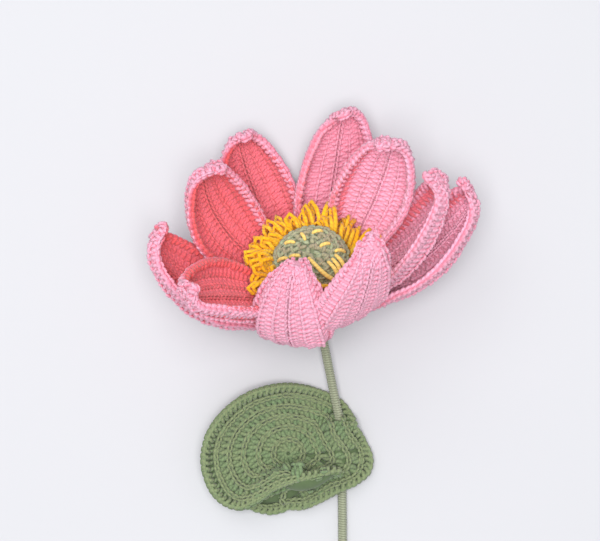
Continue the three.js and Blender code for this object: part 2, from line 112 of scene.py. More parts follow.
print("bloom stands at", BLOOM.round(2), "and leans along", AXIS.round(2))

# %% [markdown]
# The photograph looks almost straight down at a flower lying on a white table. A long lens from a
# little under a metre gives the same slight perspective. The light is broad and soft, most of it from
# the camera's side and a little from behind, so that even the hollows of the petals stay bright.

# %% Camera, table and light
CAMERA_HEIGHT = 900  # above the foot of the bloom
VIEW_WIDTH = 300  # of the picture at that depth
LOOK_AT = (-8.5, 16.25)  # middle of the picture, from the foot of the bloom


def set_camera():
    data = bpy.data.cameras.new("camera")
    data.sensor_width = 36
    data.lens = 36 * CAMERA_HEIGHT / VIEW_WIDTH
    camera = bpy.data.objects.new("camera", data)
    place = BLOOM + np.array([*LOOK_AT, CAMERA_HEIGHT])
    camera.location = place * MM
    bpy.context.collection.objects.link(camera)
    bpy.context.scene.camera = camera
    return camera


def lamp(name, place, size, power, colour):
    data = bpy.data.lights.new(name, "AREA")
    data.size = size
    data.energy = power
    data.color = colour
    obj = bpy.data.objects.new(name, data)
    obj.location = place
    aim = np.array([0.0, 0.06, 0.03]) - np.array(place)
    obj.rotation_euler = (math.acos(-aim[2] / np.linalg.norm(aim)), 0, math.atan2(aim[1], aim[0]) - math.pi / 2)
    bpy.context.collection.objects.link(obj)
    return obj


def set_stage():
    mesh = bpy.data.meshes.new("table")
    r = 3.0
    mesh.from_pydata([(-r, -r, 0), (r, -r, 0), (r, r, 0), (-r, r, 0)], [], [(0, 1, 2, 3)])
    floor = bpy.data.objects.new("table", mesh)
    floor.location.z = -0.0002
    bpy.context.collection.objects.link(floor)
    paint = bpy.data.materials.new("table_white")
    paint.use_nodes = True
    shader = paint.node_tree.nodes["Principled BSDF"]
    shader.inputs["Base Color"].default_value = (0.62, 0.625, 0.65, 1)
    shader.inputs["Roughness"].default_value = 0.9
    floor.data.materials.append(paint)
    world = bpy.context.scene.world or bpy.data.worlds.new("world")
    bpy.context.scene.world = world
    world.use_nodes = True
    sky = world.node_tree.nodes["Background"]
    sky.inputs["Color"].default_value = (0.93, 0.95, 1.0, 1)
    sky.inputs["Strength"].default_value = 0.5
    seen = world.node_tree.nodes.new("ShaderNodeBackground")
    seen.inputs["Color"].default_value = (0.87, 0.88, 0.91, 1)
    ray = world.node_tree.nodes.new("ShaderNodeLightPath")
    either = world.node_tree.nodes.new("ShaderNodeMixShader")
    links = world.node_tree.links
    links.new(ray.outputs["Is Camera Ray"], either.inputs["Fac"])
    links.new(sky.outputs["Background"], either.inputs[1])
    links.new(seen.outputs["Background"], either.inputs[2])
    links.new(either.outputs["Shader"], world.node_tree.nodes["World Output"].inputs["Surface"])
    lamp("softbox_above", (-0.05, 0.05, 1.6), 0.8, 22, (1.0, 0.99, 0.98))
    lamp("softbox_behind", (-0.5, 0.85, 1.3), 0.9, 5, (1.0, 0.99, 0.98))


set_camera()
set_stage()
bpy.context.scene.view_settings.view_transform = "Standard"
print("camera at", tuple(round(x, 3) for x in bpy.context.scene.camera.location))

# %% [markdown]
# Yarn is plies twisted round each other, with a soft matt surface. One class lets shader maths be
# written as sums. Each strand carries a map called ply, with the length along it and the way round
# it, and the plies are slanted ridges on that map. A number called side says how far a spot lies
# towards the inner or the outer face of the fabric, so that the gaps between strands are painted in
# a deep colour of shade. A second number lets one piece be a little warmer than the next: on the
# pod, the leaf and the fringe that is the yarn's own uneven tone, and on the petals it is painted
# shade, the deep coral of walls and hollows turned from the light.


# %% Shader maths in plain sums
class Sum:
    """A value in a material, on which + - * / add Math nodes."""

    def __init__(self, tree, socket):
        self.tree = tree
        self.socket = socket

    def maths(self, operation, *values, clamp=False):
        return node(self.tree, "ShaderNodeMath", {"operation": operation, "use_clamp": clamp}, values)

    def __add__(self, other):
        return self.maths("ADD", self, other)

    def __sub__(self, other):
        return self.maths("SUBTRACT", self, other)

    def __mul__(self, other):
        return self.maths("MULTIPLY", self, other)

    def __truediv__(self, other):
        return self.maths("DIVIDE", self, other)

    def __radd__(self, other):
        return self.maths("ADD", other, self)

    def __rsub__(self, other):
        return self.maths("SUBTRACT", other, self)

    def __rmul__(self, other):
        return self.maths("MULTIPLY", other, self)

    def part(self, name):
        return Sum(self.tree, self.socket.node.outputs[name])


def node(tree, kind, settings, values):
    """A node of a kind: its settings first, then its sockets' values or links, by order or by name."""
    made = tree.nodes.new(kind)
    for key, value in settings.items():
        setattr(made, key, value)
    pairs = values.items() if isinstance(values, dict) else enumerate(values)
    for key, value in pairs:
        if isinstance(value, Sum):
            tree.links.new(value.socket, made.inputs[key])
        else:
            made.inputs[key].default_value = value
    shown = [out for out in made.outputs if out.enabled]
    return Sum(tree, shown[0]) if shown else None


def blend(tree, share, first, second, kind="MIX"):
    """Two colours mixed by a share."""
    settings = {"data_type": "RGBA", "blend_type": kind}
    return node(tree, "ShaderNodeMix", settings, {0: share, 6: first, 7: second})


# %% Yarn
def yarn(name, inner, outer_and_shade, gap_shade, warm_and_shade=None, ply=1.7, roughness=0.85):
    """Yarn of two plies: its inner and outer face colours, painted shade in the gaps, and a warm colour for tone and
    shade.
    """
    material = bpy.data.materials.new(name)
    material.use_nodes = True
    tree = material.node_tree
    shader = tree.nodes["Principled BSDF"]
    side = node(tree, "ShaderNodeAttribute", {"attribute_name": "side"}, {}).part("Fac")
    tone_and_shade = node(tree, "ShaderNodeAttribute", {"attribute_name": "tone_and_shade"}, {}).part("Fac")
    place = node(tree, "ShaderNodeTexCoord", {}, {}).part("Object")
    mottle = node(tree, "ShaderNodeTexNoise", {}, {"Vector": place, "Scale": 160.0, "Detail": 2.0}).part("Fac")
    fibre = node(tree, "ShaderNodeTexNoise", {}, {"Vector": place, "Scale": 2600.0, "Detail": 2.0}).part("Fac")
    way = node(tree, "ShaderNodeUVMap", {"uv_map": "ply"}, {})
    split = node(tree, "ShaderNodeSeparateXYZ", {}, [way])
    turns = split.part("X") / ply + 2 * split.part("Y")
    ridge = side.maths("ABSOLUTE", side.maths("SINE", turns * math.pi))

    # The warm colour, mixed in by tone, is the yarn's own uneven tone on the pod, the leaf and the fringe, and painted
    # shade on the petals; on the outer face it comes in only where tone goes past one.
    within = blend(tree, tone_and_shade, (*inner, 1), (*(warm_and_shade or inner), 1))
    without = blend(tree, tone_and_shade.maths("SUBTRACT", tone_and_shade, 1.0, clamp=True), (*outer_and_shade, 1), (*(warm_and_shade or outer_and_shade), 1))
    top = blend(tree, side.maths("MULTIPLY_ADD", side, 0.9, 0.5, clamp=True), without, within)
    # Painted shade: towards the middle of the fabric, in the gaps between strands, the colour is drawn to the shade
    # colour of the gaps.
    height = side.maths("MULTIPLY", side.maths("ABSOLUTE", side), 1.8, clamp=True)
    colour = blend(tree, height, blend(tree, 0.45, (*gap_shade, 1), top), top)
    # Mottle and fibre are the yarn's own uneven tone; the ply ridges are painted lighter than the grooves between them,
    # as painted shade.
    shade = 0.8 + 0.22 * mottle + 0.14 * ridge - 0.06 * fibre
    grey = node(tree, "ShaderNodeCombineColor", {}, [shade, shade, shade])
    colour = blend(tree, 1.0, colour, grey, "MULTIPLY")
    tree.links.new(colour.socket, shader.inputs["Base Color"])
    relief = 0.7 * ridge + 0.3 * fibre
    bump = node(tree, "ShaderNodeBump", {}, {"Strength": 0.8, "Distance": 0.00025, "Height": relief})
    tree.links.new(bump.socket, shader.inputs["Normal"])
    shader.inputs["Roughness"].default_value = roughness
    shader.inputs["Specular IOR Level"].default_value = 0.2
    shader.inputs["Sheen Weight"].default_value = 0.25
    shader.inputs["Sheen Roughness"].default_value = 0.5
    return material


# The pink is one yarn: its outer face is painted darker than its inner face, as shade, its warm coral is painted shade,
# and its deep red is the painted shade of the gaps.
PINK = yarn(
    "petal_yarn",
    inner=(0.99, 0.49, 0.66),
    outer_and_shade=(0.84, 0.41, 0.54),
    gap_shade=(0.8, 0.1, 0.17),
    warm_and_shade=(0.86, 0.13, 0.14),
)
# Each yarn's third colour is the painted shade of its gaps; the warm colours of the pod, the fringe and the leaf are
# their own uneven tone.
POD_GREEN = yarn("pod_yarn", (0.42, 0.49, 0.3), (0.42, 0.49, 0.3), (0.16, 0.17, 0.09), warm_and_shade=(0.42, 0.34, 0.22))
YELLOW = yarn("stamen_yarn", (0.99, 0.52, 0.015), (0.99, 0.52, 0.015), (0.95, 0.3, 0.0), warm_and_shade=(0.99, 0.62, 0.05))
SEED = yarn("seed_yarn", (0.99, 0.72, 0.2), (0.99, 0.72, 0.2), (0.8, 0.5, 0.1))
STEM_GREEN = yarn("stem_yarn", (0.36, 0.39, 0.27), (0.36, 0.39, 0.27), (0.14, 0.14, 0.08))
LEAF_GREEN = yarn("leaf_yarn", (0.2, 0.29, 0.145), (0.2, 0.29, 0.145), (0.04, 0.07, 0.02), warm_and_shade=(0.27, 0.31, 0.16))
print("yarns:", [m.name for m in bpy.data.materials if m.name.endswith("_yarn")])

# %% [markdown]
# A stitch is short lengths of yarn. Each length is swept along a line through a few points, as a
# tube with a handful of sides, because the same stitch is laid thousands of times. The post of a
# tall stitch is two strands twisted round each other, and on its head lie the two legs of a chain
# link, one on each face of the fabric, which join up with the next stitch.


# %% Strands
def smooth(x):
    x = np.clip(x, 0, 1)
    return x * x * (3 - 2 * x)


def spline(points, count, closed=False):
    """Points at equal spacing on a smooth line through given points."""
    p = np.array(points, float)
    if closed:
        p = np.vstack([p[-1], p, p[0], p[1]])
    else:
        p = np.vstack([2 * p[0] - p[1], p, 2 * p[-1] - p[-2]])
    t = np.linspace(0, 1, 24, endpoint=False)[:, None]
    pieces = []
    for a, b, c, d in zip(p, p[1:], p[2:], p[3:]):
        ab, bc, cd = (max(np.linalg.norm(y - x) ** 0.5, 1e-3) for x, y in ((a, b), (b, c), (c, d)))
        leave = ((b - a) / ab - (c - a) / (ab + bc) + (c - b) / bc) * bc
        reach = ((c - b) / bc - (d - b) / (bc + cd) + (d - c) / cd) * bc
        pieces.append(b + leave * t + (3 * c - 3 * b - 2 * leave - reach) * t**2 + (2 * b - 2 * c + leave + reach) * t**3)
    line = np.vstack([*pieces, p[-2][None]])
    length = np.concatenate([[0], np.cumsum(np.linalg.norm(np.diff(line, axis=0), axis=1))])
    wanted = np.linspace(0, length[-1], count, endpoint=not closed)
    return np.column_stack([np.interp(wanted, length, line[:, k]) for k in range(3)])


def carried_frames(line, start=(0.0, 0.0, 1.0)):
    """Two directions square to a line at each of its points, carried along without twist."""
    ahead = unit(np.gradient(line, axis=0))
    up = np.array(start)
    ups = []
    for way in ahead:
        up = up - way * (up @ way)
        up = up / max(np.linalg.norm(up), 1e-9)
        ups.append(up.copy())
    ups = np.array(ups)
    return ahead, ups, np.cross(ahead, ups)


def strand(line, radius, sides=5):
    """A closed tube along a line: its points, faces and ply map."""
    line = np.array(line, float)
    radius = np.broadcast_to(radius, len(line))
    _, up, right = carried_frames(line, start=(0.12, 0.3, 0.95))
    turn = 2 * math.pi * np.arange(sides) / sides
    ring = np.cos(turn)[None, :, None] * up[:, None] + np.sin(turn)[None, :, None] * right[:, None]
    points = (line[:, None] + radius[:, None, None] * ring).reshape(-1, 3)
    length = np.concatenate([[0], np.cumsum(np.linalg.norm(np.diff(line, axis=0), axis=1))])
    faces, ply = [], []
    for i in range(len(line) - 1):
        for k in range(sides):
            a, b = i * sides + k, i * sides + (k + 1) % sides
            faces.append((a, a + sides, b + sides, b))
            ply.append([(length[i], k / sides), (length[i + 1], k / sides), (length[i + 1], (k + 1) / sides), (length[i], (k + 1) / sides)])
    last = (len(line) - 1) * sides
    faces.append(tuple(range(sides)))
    ply.append([(0, k / sides) for k in range(sides)])
    faces.append(tuple(last + k for k in reversed(range(sides))))
    ply.append([(length[-1], k / sides) for k in reversed(range(sides))])
    return points, faces, ply


def strands_object(name, parts, thickness, shift=0.0):
    """One mesh of several strands, which knows how far each spot lies from the middle of the fabric."""
    points, faces, ply = [], [], []
    for p, f, w in parts:
        faces += [tuple(i + len(points) for i in face) for face in f]
        points += list(p)
        ply += w
    points = np.array(points)
    mesh = bpy.data.meshes.new(name)
    mesh.from_pydata((points * MM).tolist(), [], faces)
    ways = mesh.uv_layers.new(name="ply")
    ways.data.foreach_set("uv", np.array([xy for face in ply for xy in face]).ravel())
    side = mesh.attributes.new("side", "FLOAT", "POINT")
    side.data.foreach_set("value", np.clip(2 * points[:, 2] / thickness + shift, -1, 1))
    mesh.shade_smooth()
    obj = bpy.data.objects.new(name, mesh)
    bpy.context.collection.objects.link(obj)
    return obj


# %% One stitch
FABRIC = 3.6  # thickness
PITCH = 3.1  # from one stitch to the next along a row


def stitch(name, height, turns, yarn_radius=1.02, rings=6):
    """A stitch of a height, with x along the row, y from foot to head and z through the fabric."""
    t = np.linspace(0, 1, rings)
    parts = []
    for strand_number in (0, 1):
        swell = 0.6 + 0.4 * np.sin(math.pi * t)
        angle = math.pi * (strand_number + 0.3 + turns * t)
        line = np.column_stack(
            [
                0.85 * yarn_radius * swell * np.cos(angle),
                height * (0.98 * t - 0.04),
                0.7 * yarn_radius * swell * np.sin(angle),
            ]
        )
        parts.append(strand(line, yarn_radius * (0.84 + 0.2 * np.sin(math.pi * t))))
    for face in (1, -1):
        link = [
            (-0.62 * PITCH, height * 0.99 - 0.5, 0.25 * face),
            (-0.2 * PITCH, height + 0.05, 1.0 * face),
            (0.25 * PITCH, height + 0.1, 1.1 * face),
            (0.6 * PITCH, height - 0.5, 0.5 * face),
        ]
        parts.append(strand(link, yarn_radius * np.array([0.7, 0.95, 1.0, 0.7]), sides=4))
    return strands_object(name, parts, FABRIC)


TALL = 7.7  # height of the stitch that the rows of a petal are drawn with
TALL_STITCH = stitch("tall_stitch", TALL, turns=1.2)
SHORT = 3.6
SHORT_STITCH = stitch("short_stitch", SHORT, turns=0.7, rings=4)


def edge_stitch(name):
    """A stitch that closes an edge: a strand over the edge, and a chain link lying on it."""
    over = [(-1.2, -2.6, 1.2), (-0.5, -0.6, 1.45), (0.1, 0.3, 0.6), (0.3, 0.3, -0.6), (0.8, -0.6, -1.45), (1.4, -2.6, -1.2)]
    link = [(-1.9, 0.0, 0.5), (-0.6, 0.5, 1.0), (0.7, 0.6, 0.75), (1.9, 0.2, 0.1)]
    back = [(-1.9, 0.0, -0.1), (-0.6, 0.5, -1.0), (0.7, 0.6, -0.75), (1.9, 0.2, -0.4)]
    thick = [0.8, 1.05, 1.05, 0.8]
    parts = [strand(over, 1.0), strand(link, thick), strand(back, thick)]
    return strands_object(name, parts, FABRIC, shift=0.5)


def chain_stitch(name):
    """One link of a chain on each face, two legs that open like a V."""
    parts = []
    for face in (1, -1):
        for leg in (1, -1):
            line = [(-2.1, 0.25 * leg, 0.9 * face), (-0.5, 1.0 * leg, 1.45 * face), (0.9, 0.9 * leg, 1.35 * face), (2.0, 0.2 * leg, 0.8 * face)]
            parts.append(strand(line, [0.45, 0.72, 0.72, 0.45], sides=4))
    return strands_object(name, parts, FABRIC)


EDGE_STITCH = edge_stitch("edge_stitch")
CHAIN_STITCH = chain_stitch("chain_stitch")
print("faces in a tall stitch:", len(TALL_STITCH.data.polygons), "edge:", len(EDGE_STITCH.data.polygons))

# %% [markdown]
# Laying stitches is the same job everywhere: at each place there is a way along the row, a way from
# foot to head and a way out of the fabric. A node tree puts a copy of the stitch there, turned and
# stretched to fit, with a little unevenness as handwork has. Places come as a cloud of points that
# carry these three ways.


# %% Node tree that lays stitches
def laying_tree():
    tree = bpy.data.node_groups.new("Lay stitches", "GeometryNodeTree")
    sockets = [
        ("Geometry", "NodeSocketGeometry", "OUTPUT"),
        ("Geometry", "NodeSocketGeometry", "INPUT"),
        ("Stitch", "NodeSocketObject", "INPUT"),
        ("Yarn", "NodeSocketMaterial", "INPUT"),
        ("Plumpness", "NodeSocketFloat", "INPUT"),
        ("Unevenness", "NodeSocketFloat", "INPUT"),
        ("Seed", "NodeSocketInt", "INPUT"),
    ]
    for name, kind, way in sockets:
        tree.interface.new_socket(name=name, in_out=way, socket_type=kind)
    given = node(tree, "NodeGroupInput", {}, {})

    def ways(name):
        return node(tree, "GeometryNodeInputNamedAttribute", {"data_type": "FLOAT_VECTOR"}, {"Name": name})

    row, post, face = ways("row_way"), ways("post_way"), ways("face_way")
    turn = node(
        tree,
        "FunctionNodeAxesToRotation",
        {"primary_axis": "Z", "secondary_axis": "X"},
        {"Primary Axis": face, "Secondary Axis": row},
    )
    uneven = given.part("Unevenness")
    low, high = (
        node(tree, "ShaderNodeCombineXYZ", {}, [value, value, value]) for value in (uneven * -1.0, uneven * 1.0)
    )
    shake = node(
        tree,
        "FunctionNodeRandomValue",
        {"data_type": "FLOAT_VECTOR"},
        {"Min": low, "Max": high, "Seed": given.part("Seed")},
    )
    tilt = node(tree, "FunctionNodeEulerToRotation", {}, [shake])
    turned = node(tree, "FunctionNodeRotateRotation", {"rotation_space": "LOCAL"}, [turn, tilt])
    wide, tall = (node(tree, "ShaderNodeVectorMath", {"operation": "LENGTH"}, [way]).part("Value") for way in (row, post))
    swing = node(tree, "ShaderNodeSeparateXYZ", {}, [shake])
    size = node(
        tree,
        "ShaderNodeCombineXYZ",
        {},
        [wide * (1 + swing.part("X")), tall * (1 + 0.6 * swing.part("Y")), given.part("Plumpness") * (1 + 2 * swing.part("Z"))],
    )
    shape = node(tree, "GeometryNodeObjectInfo", {}, {"Object": given.part("Stitch")}).part("Geometry")
    copies = node(
        tree,
        "GeometryNodeInstanceOnPoints",
        {},
        {"Points": given.part("Geometry"), "Instance": shape, "Rotation": turned, "Scale": size},
    )
    real = node(tree, "GeometryNodeRealizeInstances", {}, [copies])
    dyed = node(tree, "GeometryNodeSetMaterial", {}, {"Geometry": real, "Material": given.part("Yarn")})
    node(tree, "NodeGroupOutput", {"is_active_output": True}, [dyed])
    return tree


LAY = laying_tree()


# %% Laying the stitches of a piece
def lay(name, places, shape, material, height=1.0, plump=1.0, uneven=0.05, seed=1, tone_and_shade=0.0):
    """A piece made of copies of a stitch, at places given as (foot, row way, post way, face way)."""
    foot, row, post, face = places
    mesh = bpy.data.meshes.new(name + "_places")
    mesh.from_pydata((foot * MM).tolist(), [], [])
    post = post / height
    for key, values in (("row_way", row), ("post_way", post), ("face_way", face)):
        mesh.attributes.new(key, "FLOAT_VECTOR", "POINT").data.foreach_set("vector", values.ravel())
    tones = np.broadcast_to(tone_and_shade, len(foot)).astype(float)
    mesh.attributes.new("tone_and_shade", "FLOAT", "POINT").data.foreach_set("value", tones)
    cloud = bpy.data.objects.new(name + "_places", mesh)
    bpy.context.collection.objects.link(cloud)
    modifier = cloud.modifiers.new("stitches", "NODES")
    modifier.node_group = LAY
    given = {"Stitch": shape, "Yarn": material, "Plumpness": plump, "Unevenness": uneven, "Seed": seed}
    for item in LAY.interface.items_tree:
        if item.in_out == "INPUT" and item.name in given:
            modifier[item.identifier] = given[item.name]
    graph = bpy.context.evaluated_depsgraph_get()
    made = bpy.data.meshes.new_from_object(cloud.evaluated_get(graph), preserve_all_data_layers=True, depsgraph=graph)
    cloud.modifiers.remove(modifier)
    bpy.data.objects.remove(cloud)
    for key in ("row_way", "post_way", "face_way"):
        if key in made.attributes:
            made.attributes.remove(made.attributes[key])
    made.name = name
    piece = bpy.data.objects.new(name, made)
    bpy.context.collection.objects.link(piece)
    return piece


# %% [markdown]
# Under the stitches lies a thin sheet in the same shape. On the real flower there is nothing but
# yarn, yet the eye never sees through the fabric, because strands lie behind strands. The sheet
# stands for those, and it is also what the fabric measures as a cut of cloth. Its colour is drawn
# towards the painted shade of the gaps, since those strands lie in shade.


# %% Fabric
class Fabric:
    """A curved piece of fabric known by a grid of points: u along the first way, v along the second."""

    def __init__(self, grid, wraps=False):
        self.grid = grid
        self.wraps = wraps

    def read(self, table, u, v):
        rows, columns = table.shape[0] - 1, table.shape[1] - 1
        i, j = np.clip(u, 0, 1) * rows, (v % 1.0 if self.wraps else np.clip(v, 0, 1)) * columns
        a, b = np.minimum(i.astype(int), rows - 1), np.minimum(j.astype(int), columns - 1)
        s, t = (i - a)[..., None], (j - b)[..., None]
        near = table[a, b] * (1 - t) + table[a, b + 1] * t
        far = table[a + 1, b] * (1 - t) + table[a + 1, b + 1] * t
        return near * (1 - s) + far * s

    def at(self, u, v):
        return self.read(self.grid, np.asarray(u, float), np.asarray(v, float))


def sheet_object(name, grid, thickness, material, tone_and_shade=0.0, wraps=False, lit=0.45):
    """A thin closed sheet on a grid of points. Where it wraps, the first row is a single point."""
    normals = unit(np.cross(np.gradient(grid, axis=0), np.gradient(grid, axis=1)))
    if wraps:
        grid, normals = grid[:, :-1], normals[:, :-1]
        normals[0] = unit(normals[1].mean(axis=0))
    rows, columns = grid.shape[:2]
    points = np.vstack([(grid + side * thickness / 2 * normals).reshape(-1, 3) for side in (1, -1)])
    layer = rows * columns
    faces = []
    for i in range(rows - 1):
        for j in range(columns if wraps else columns - 1):
            a, b = i * columns + j, i * columns + (j + 1) % columns
            if wraps and i == 0:
                faces += [(0, a + columns, b + columns), (layer, b + columns + layer, a + columns + layer)]
            else:
                faces += [(a, a + columns, b + columns, b), (a + layer, b + layer, b + columns + layer, a + columns + layer)]
    last = (rows - 1) * columns
    for j in range(columns if wraps else columns - 1):
        a, b = last + j, last + (j + 1) % columns
        faces.append((a, a + layer, b + layer, b))
        if not wraps:
            faces.append((j, j + 1, j + 1 + layer, j + layer))
    if not wraps:
        for i in range(rows - 1):
            a, b = i * columns, (i + 1) * columns
            faces += [(a, a + layer, b + layer, b), (a + columns - 1, b + columns - 1, b + columns - 1 + layer, a + columns - 1 + layer)]
    mesh = bpy.data.meshes.new(name)
    mesh.from_pydata((points * MM).tolist(), [], faces)
    if wraps:
        import bmesh

        work = bmesh.new()
        work.from_mesh(mesh)
        bmesh.ops.delete(work, geom=[v for v in work.verts if not v.link_faces], context="VERTS")
        work.to_mesh(mesh)
        work.free()
    mesh.shade_smooth()
    mesh.attributes.new("tone_and_shade", "FLOAT", "POINT").data.foreach_set("value", np.full(len(mesh.vertices), tone_and_shade))
    place = np.empty(3 * len(mesh.vertices))
    mesh.vertices.foreach_get("co", place)
    upper = np.round(place.reshape(-1, 3) / MM, 3)
    known = {tuple(p) for p in np.round(points[:layer], 3)}
    faces_up = np.array([tuple(p) in known for p in upper])
    # Each face of the sheet takes a side of lit, so its colour is drawn towards the painted shade of the gaps; the
    # lower lit is, the more it is painted as shade.
    mesh.attributes.new("side", "FLOAT", "POINT").data.foreach_set("value", np.where(faces_up, lit, -lit))
    mesh.materials.append(material)
    obj = bpy.data.objects.new(name, mesh)
    bpy.context.collection.objects.link(obj)
    return obj


def area_of(grid):
    """Area of a grid of points, in square metres."""
    across, down = np.diff(grid[:-1], axis=1), np.diff(grid[:, :-1], axis=0)
    return float(np.linalg.norm(np.cross(across, down), axis=2).sum()) * MM * MM


print("fabric is", FABRIC, "mm thick")

# %% [markdown]
# Every petal follows one pattern: narrow at the root, widest at the middle, with its outer row
# turned up as a wall and its tip hooked in. They differ only in how they are set. The middle of a
# petal is a line whose slope grows from root to tip, and the fabric is bent across it.

# %% The pattern of a petal
PETAL_LENGTH = 99
PETAL_HALF_WIDTH = 23
PETAL_ROOT_SHARE = 0.27
PETAL_TIP_HALF_WIDTH = 1.6
PETAL_WIDEST_AT = 0.52
PETAL_TAPER = 0.95  # a greater power makes a more pointed tip
PETAL_ROWS = 3
PETAL_CUP = math.radians(10)
PETAL_WALL = math.radians(58)
PETAL_HOOD = math.radians(80)
PETAL_HOOD_FROM = 0.8  # share of the length where the tip starts to hook
POD_FOOT_RADIUS = 12
FIT_GAP = 0.3
TIER_STEP = FABRIC + 2 * FIT_GAP
# azimuth, rise at the root, rise at the tip, roll (degrees), sway of the tip (mm), tier, and tone: painted shade, high
# on the petals whose inner faces turn from the light
PETALS = [
    (76, 10, 80, 22, -10, 1, 0.25),
    (40, 32, 99, 18, -12, 2, 0.1),
    (2, 17, 86, -10, 6, 1, 0.1),
    (1, 7, 64, 5, 16, 0, 0.1),
    (-76, 22, 117, 7, 20, 2, 0.2),
    (-110, 3, 154, 1, 4, 1, 0.2),
    (-155, 43, 50, -2, 20, 2, 0.9),
    (-176, 2, 85, -12, -18, 0, 0.9),
    (146, 8, 113, -18, -5, 2, 0.9),
    (115, 8, 83, 0, -5, 0, 0.8),
]


def half_width(u):
    rising = PETAL_ROOT_SHARE + (1 - PETAL_ROOT_SHARE) * np.sin(math.pi / 2 * np.clip(u / PETAL_WIDEST_AT, 0, 1))
    t = np.clip((u - PETAL_WIDEST_AT) / (1 - PETAL_WIDEST_AT), 0, 1)
    closing = np.maximum(PETAL_TIP_HALF_WIDTH, PETAL_HALF_WIDTH * (1 - t * t) ** PETAL_TAPER)
    return np.where(u < PETAL_WIDEST_AT, PETAL_HALF_WIDTH * rising, closing)


def petal_grid(azimuth, rise, reach, roll, sway, tier, rows=73, columns=49):
    u = np.linspace(0, 1, rows)
    angle = np.radians(rise + (reach - rise) * u) + PETAL_HOOD * smooth((u - PETAL_HOOD_FROM) / (1 - PETAL_HOOD_FROM))
    step = PETAL_LENGTH / (rows - 1)
    middle = (angle[1:] + angle[:-1]) / 2
    out = np.concatenate([[0], np.cumsum(np.cos(middle))]) * step
    up = np.concatenate([[0], np.cumsum(np.sin(middle))]) * step
    root = POD_FOOT_RADIUS + FIT_GAP + FABRIC / 2 * math.sin(math.radians(rise))
    spine = np.column_stack([root + out, sway * u * u, tier * TIER_STEP + up])
    turned = (math.radians(roll) * smooth(u / 0.6))[:, None]
    inward = np.column_stack([-np.sin(angle), 0 * u, np.cos(angle)])
    side = np.array([0, 1, 0]) * np.cos(turned) + inward * np.sin(turned)
    lift = inward * np.cos(turned) - np.array([0, 1, 0]) * np.sin(turned)
    half = (columns - 1) // 2
    v = (np.arange(half) + 0.5) / half
    bend = PETAL_CUP * v + PETAL_WALL * smooth((v - 0.48) / 0.26)
    slope = smooth((u + 0.02) / 0.35)[:, None] * bend[None]
    width = half_width(u)[:, None] / half
    x = np.concatenate([0 * width, np.cumsum(np.cos(slope) * width, axis=1)], axis=1)
    z = np.concatenate([0 * width, np.cumsum(np.sin(slope) * width, axis=1)], axis=1)
    x = np.concatenate([-x[:, :0:-1], x], axis=1)
    z = np.concatenate([z[:, :0:-1], z], axis=1)
    grid = spine[:, None] + x[..., None] * side[:, None] + z[..., None] * lift[:, None]
    c, s = math.cos(math.radians(azimuth)), math.sin(math.radians(azimuth))
    return in_bloom(grid @ np.array([[c, s, 0], [-s, c, 0], [0, 0, 1]]))


# %% [markdown]
# A petal is crocheted round its midrib: up one side, round the tip, and down the other side, three
# rows deep. So the posts stand square to the midrib along the sides and fan out round the tip.

# %% Rows of a petal
MIDRIB_END = 0.86  # share of the length where the midrib stops and the rows turn round it


def petal_place(fabric, q, t):
    """Places at a depth q in the rows, for t from 0 at the root over 1 at the tip to 2 at the root."""
    s = 1 - np.abs(1 - t)
    u = (1 - q) * MIDRIB_END * s + q * s
    v = np.clip(q * half_width(s) / half_width(u), 0, 1) * np.where(t < 1, 1, -1)
    return fabric.at(u, 0.5 + 0.5 * v)


def petal_rows(fabric):
    """Foot, row way, post way, face way, and share on the first wall, where shade is painted, of every stitch of a
    petal.
    """
    feet, rows, posts, faces, shaded_wall = [], [], [], [], []
    for k in range(PETAL_ROWS):
        low, high = max(k, 0.08) / PETAL_ROWS, (k + 0.97) / PETAL_ROWS
        middle = (low + high) / 2
        t = np.linspace(0.0, 2.0, 801)
        line = petal_place(fabric, middle, t)
        length = np.concatenate([[0], np.cumsum(np.linalg.norm(np.diff(line, axis=0), axis=1))])
        count = int(round(length[-1] / PITCH))
        wanted = (np.arange(count) + 0.5 + 0.25 * (k % 2)) * length[-1] / (count + 0.25)
        t = np.interp(wanted, length, t)
        foot, head = petal_place(fabric, low, t), petal_place(fabric, high, t)
        way = unit(petal_place(fabric, middle, t + 0.012) - petal_place(fabric, middle, t - 0.012))
        sag = petal_place(fabric, middle, t) - (foot + head) / 2
        feet.append(foot + 0.7 * sag)
        posts.append(head - foot)
        faces.append(unit(np.cross(way, head - foot)))
        rows.append(way * (length[-1] / count / PITCH))
        shaded_wall.append((k == PETAL_ROWS - 1) * smooth((0.92 - t) / 0.1) * smooth(t / 0.2))
    return tuple(np.vstack(x) for x in (feet, rows, posts, faces)), np.concatenate(shaded_wall)


def spaced(place, pitch, samples=801, reach=1.0):
    """Equally spaced values along a line given by place(t), for t from 0 to reach."""
    t = np.linspace(0.0, reach, samples)
    length = np.concatenate([[0], np.cumsum(np.linalg.norm(np.diff(place(t), axis=0), axis=1))])
    count = int(round(length[-1] / pitch))
    return np.interp((np.arange(count) + 0.5) * length[-1] / count, length, t), length[-1] / count / PITCH


def petal_edge(fabric):
    t, size = spaced(lambda t: petal_place(fabric, 1.0, t), PITCH, reach=2.0)
    foot = petal_place(fabric, 0.985, t)
    way = unit(petal_place(fabric, 1.0, t + 0.01) - petal_place(fabric, 1.0, t - 0.01))
    out = unit(foot - petal_place(fabric, 0.93, t))
    return foot, way * size, out, unit(np.cross(way, out))


def petal_midrib(fabric):
    t, size = spaced(lambda t: petal_place(fabric, 0.0, t), PITCH, reach=1.0)
    foot = petal_place(fabric, 0.0, t)
    way = unit(petal_place(fabric, 0.0, t + 0.01) - petal_place(fabric, 0.0, t - 0.01))
    out = unit(petal_place(fabric, 0.08, t) - foot)
    return foot, way * size, out, unit(np.cross(way, out))


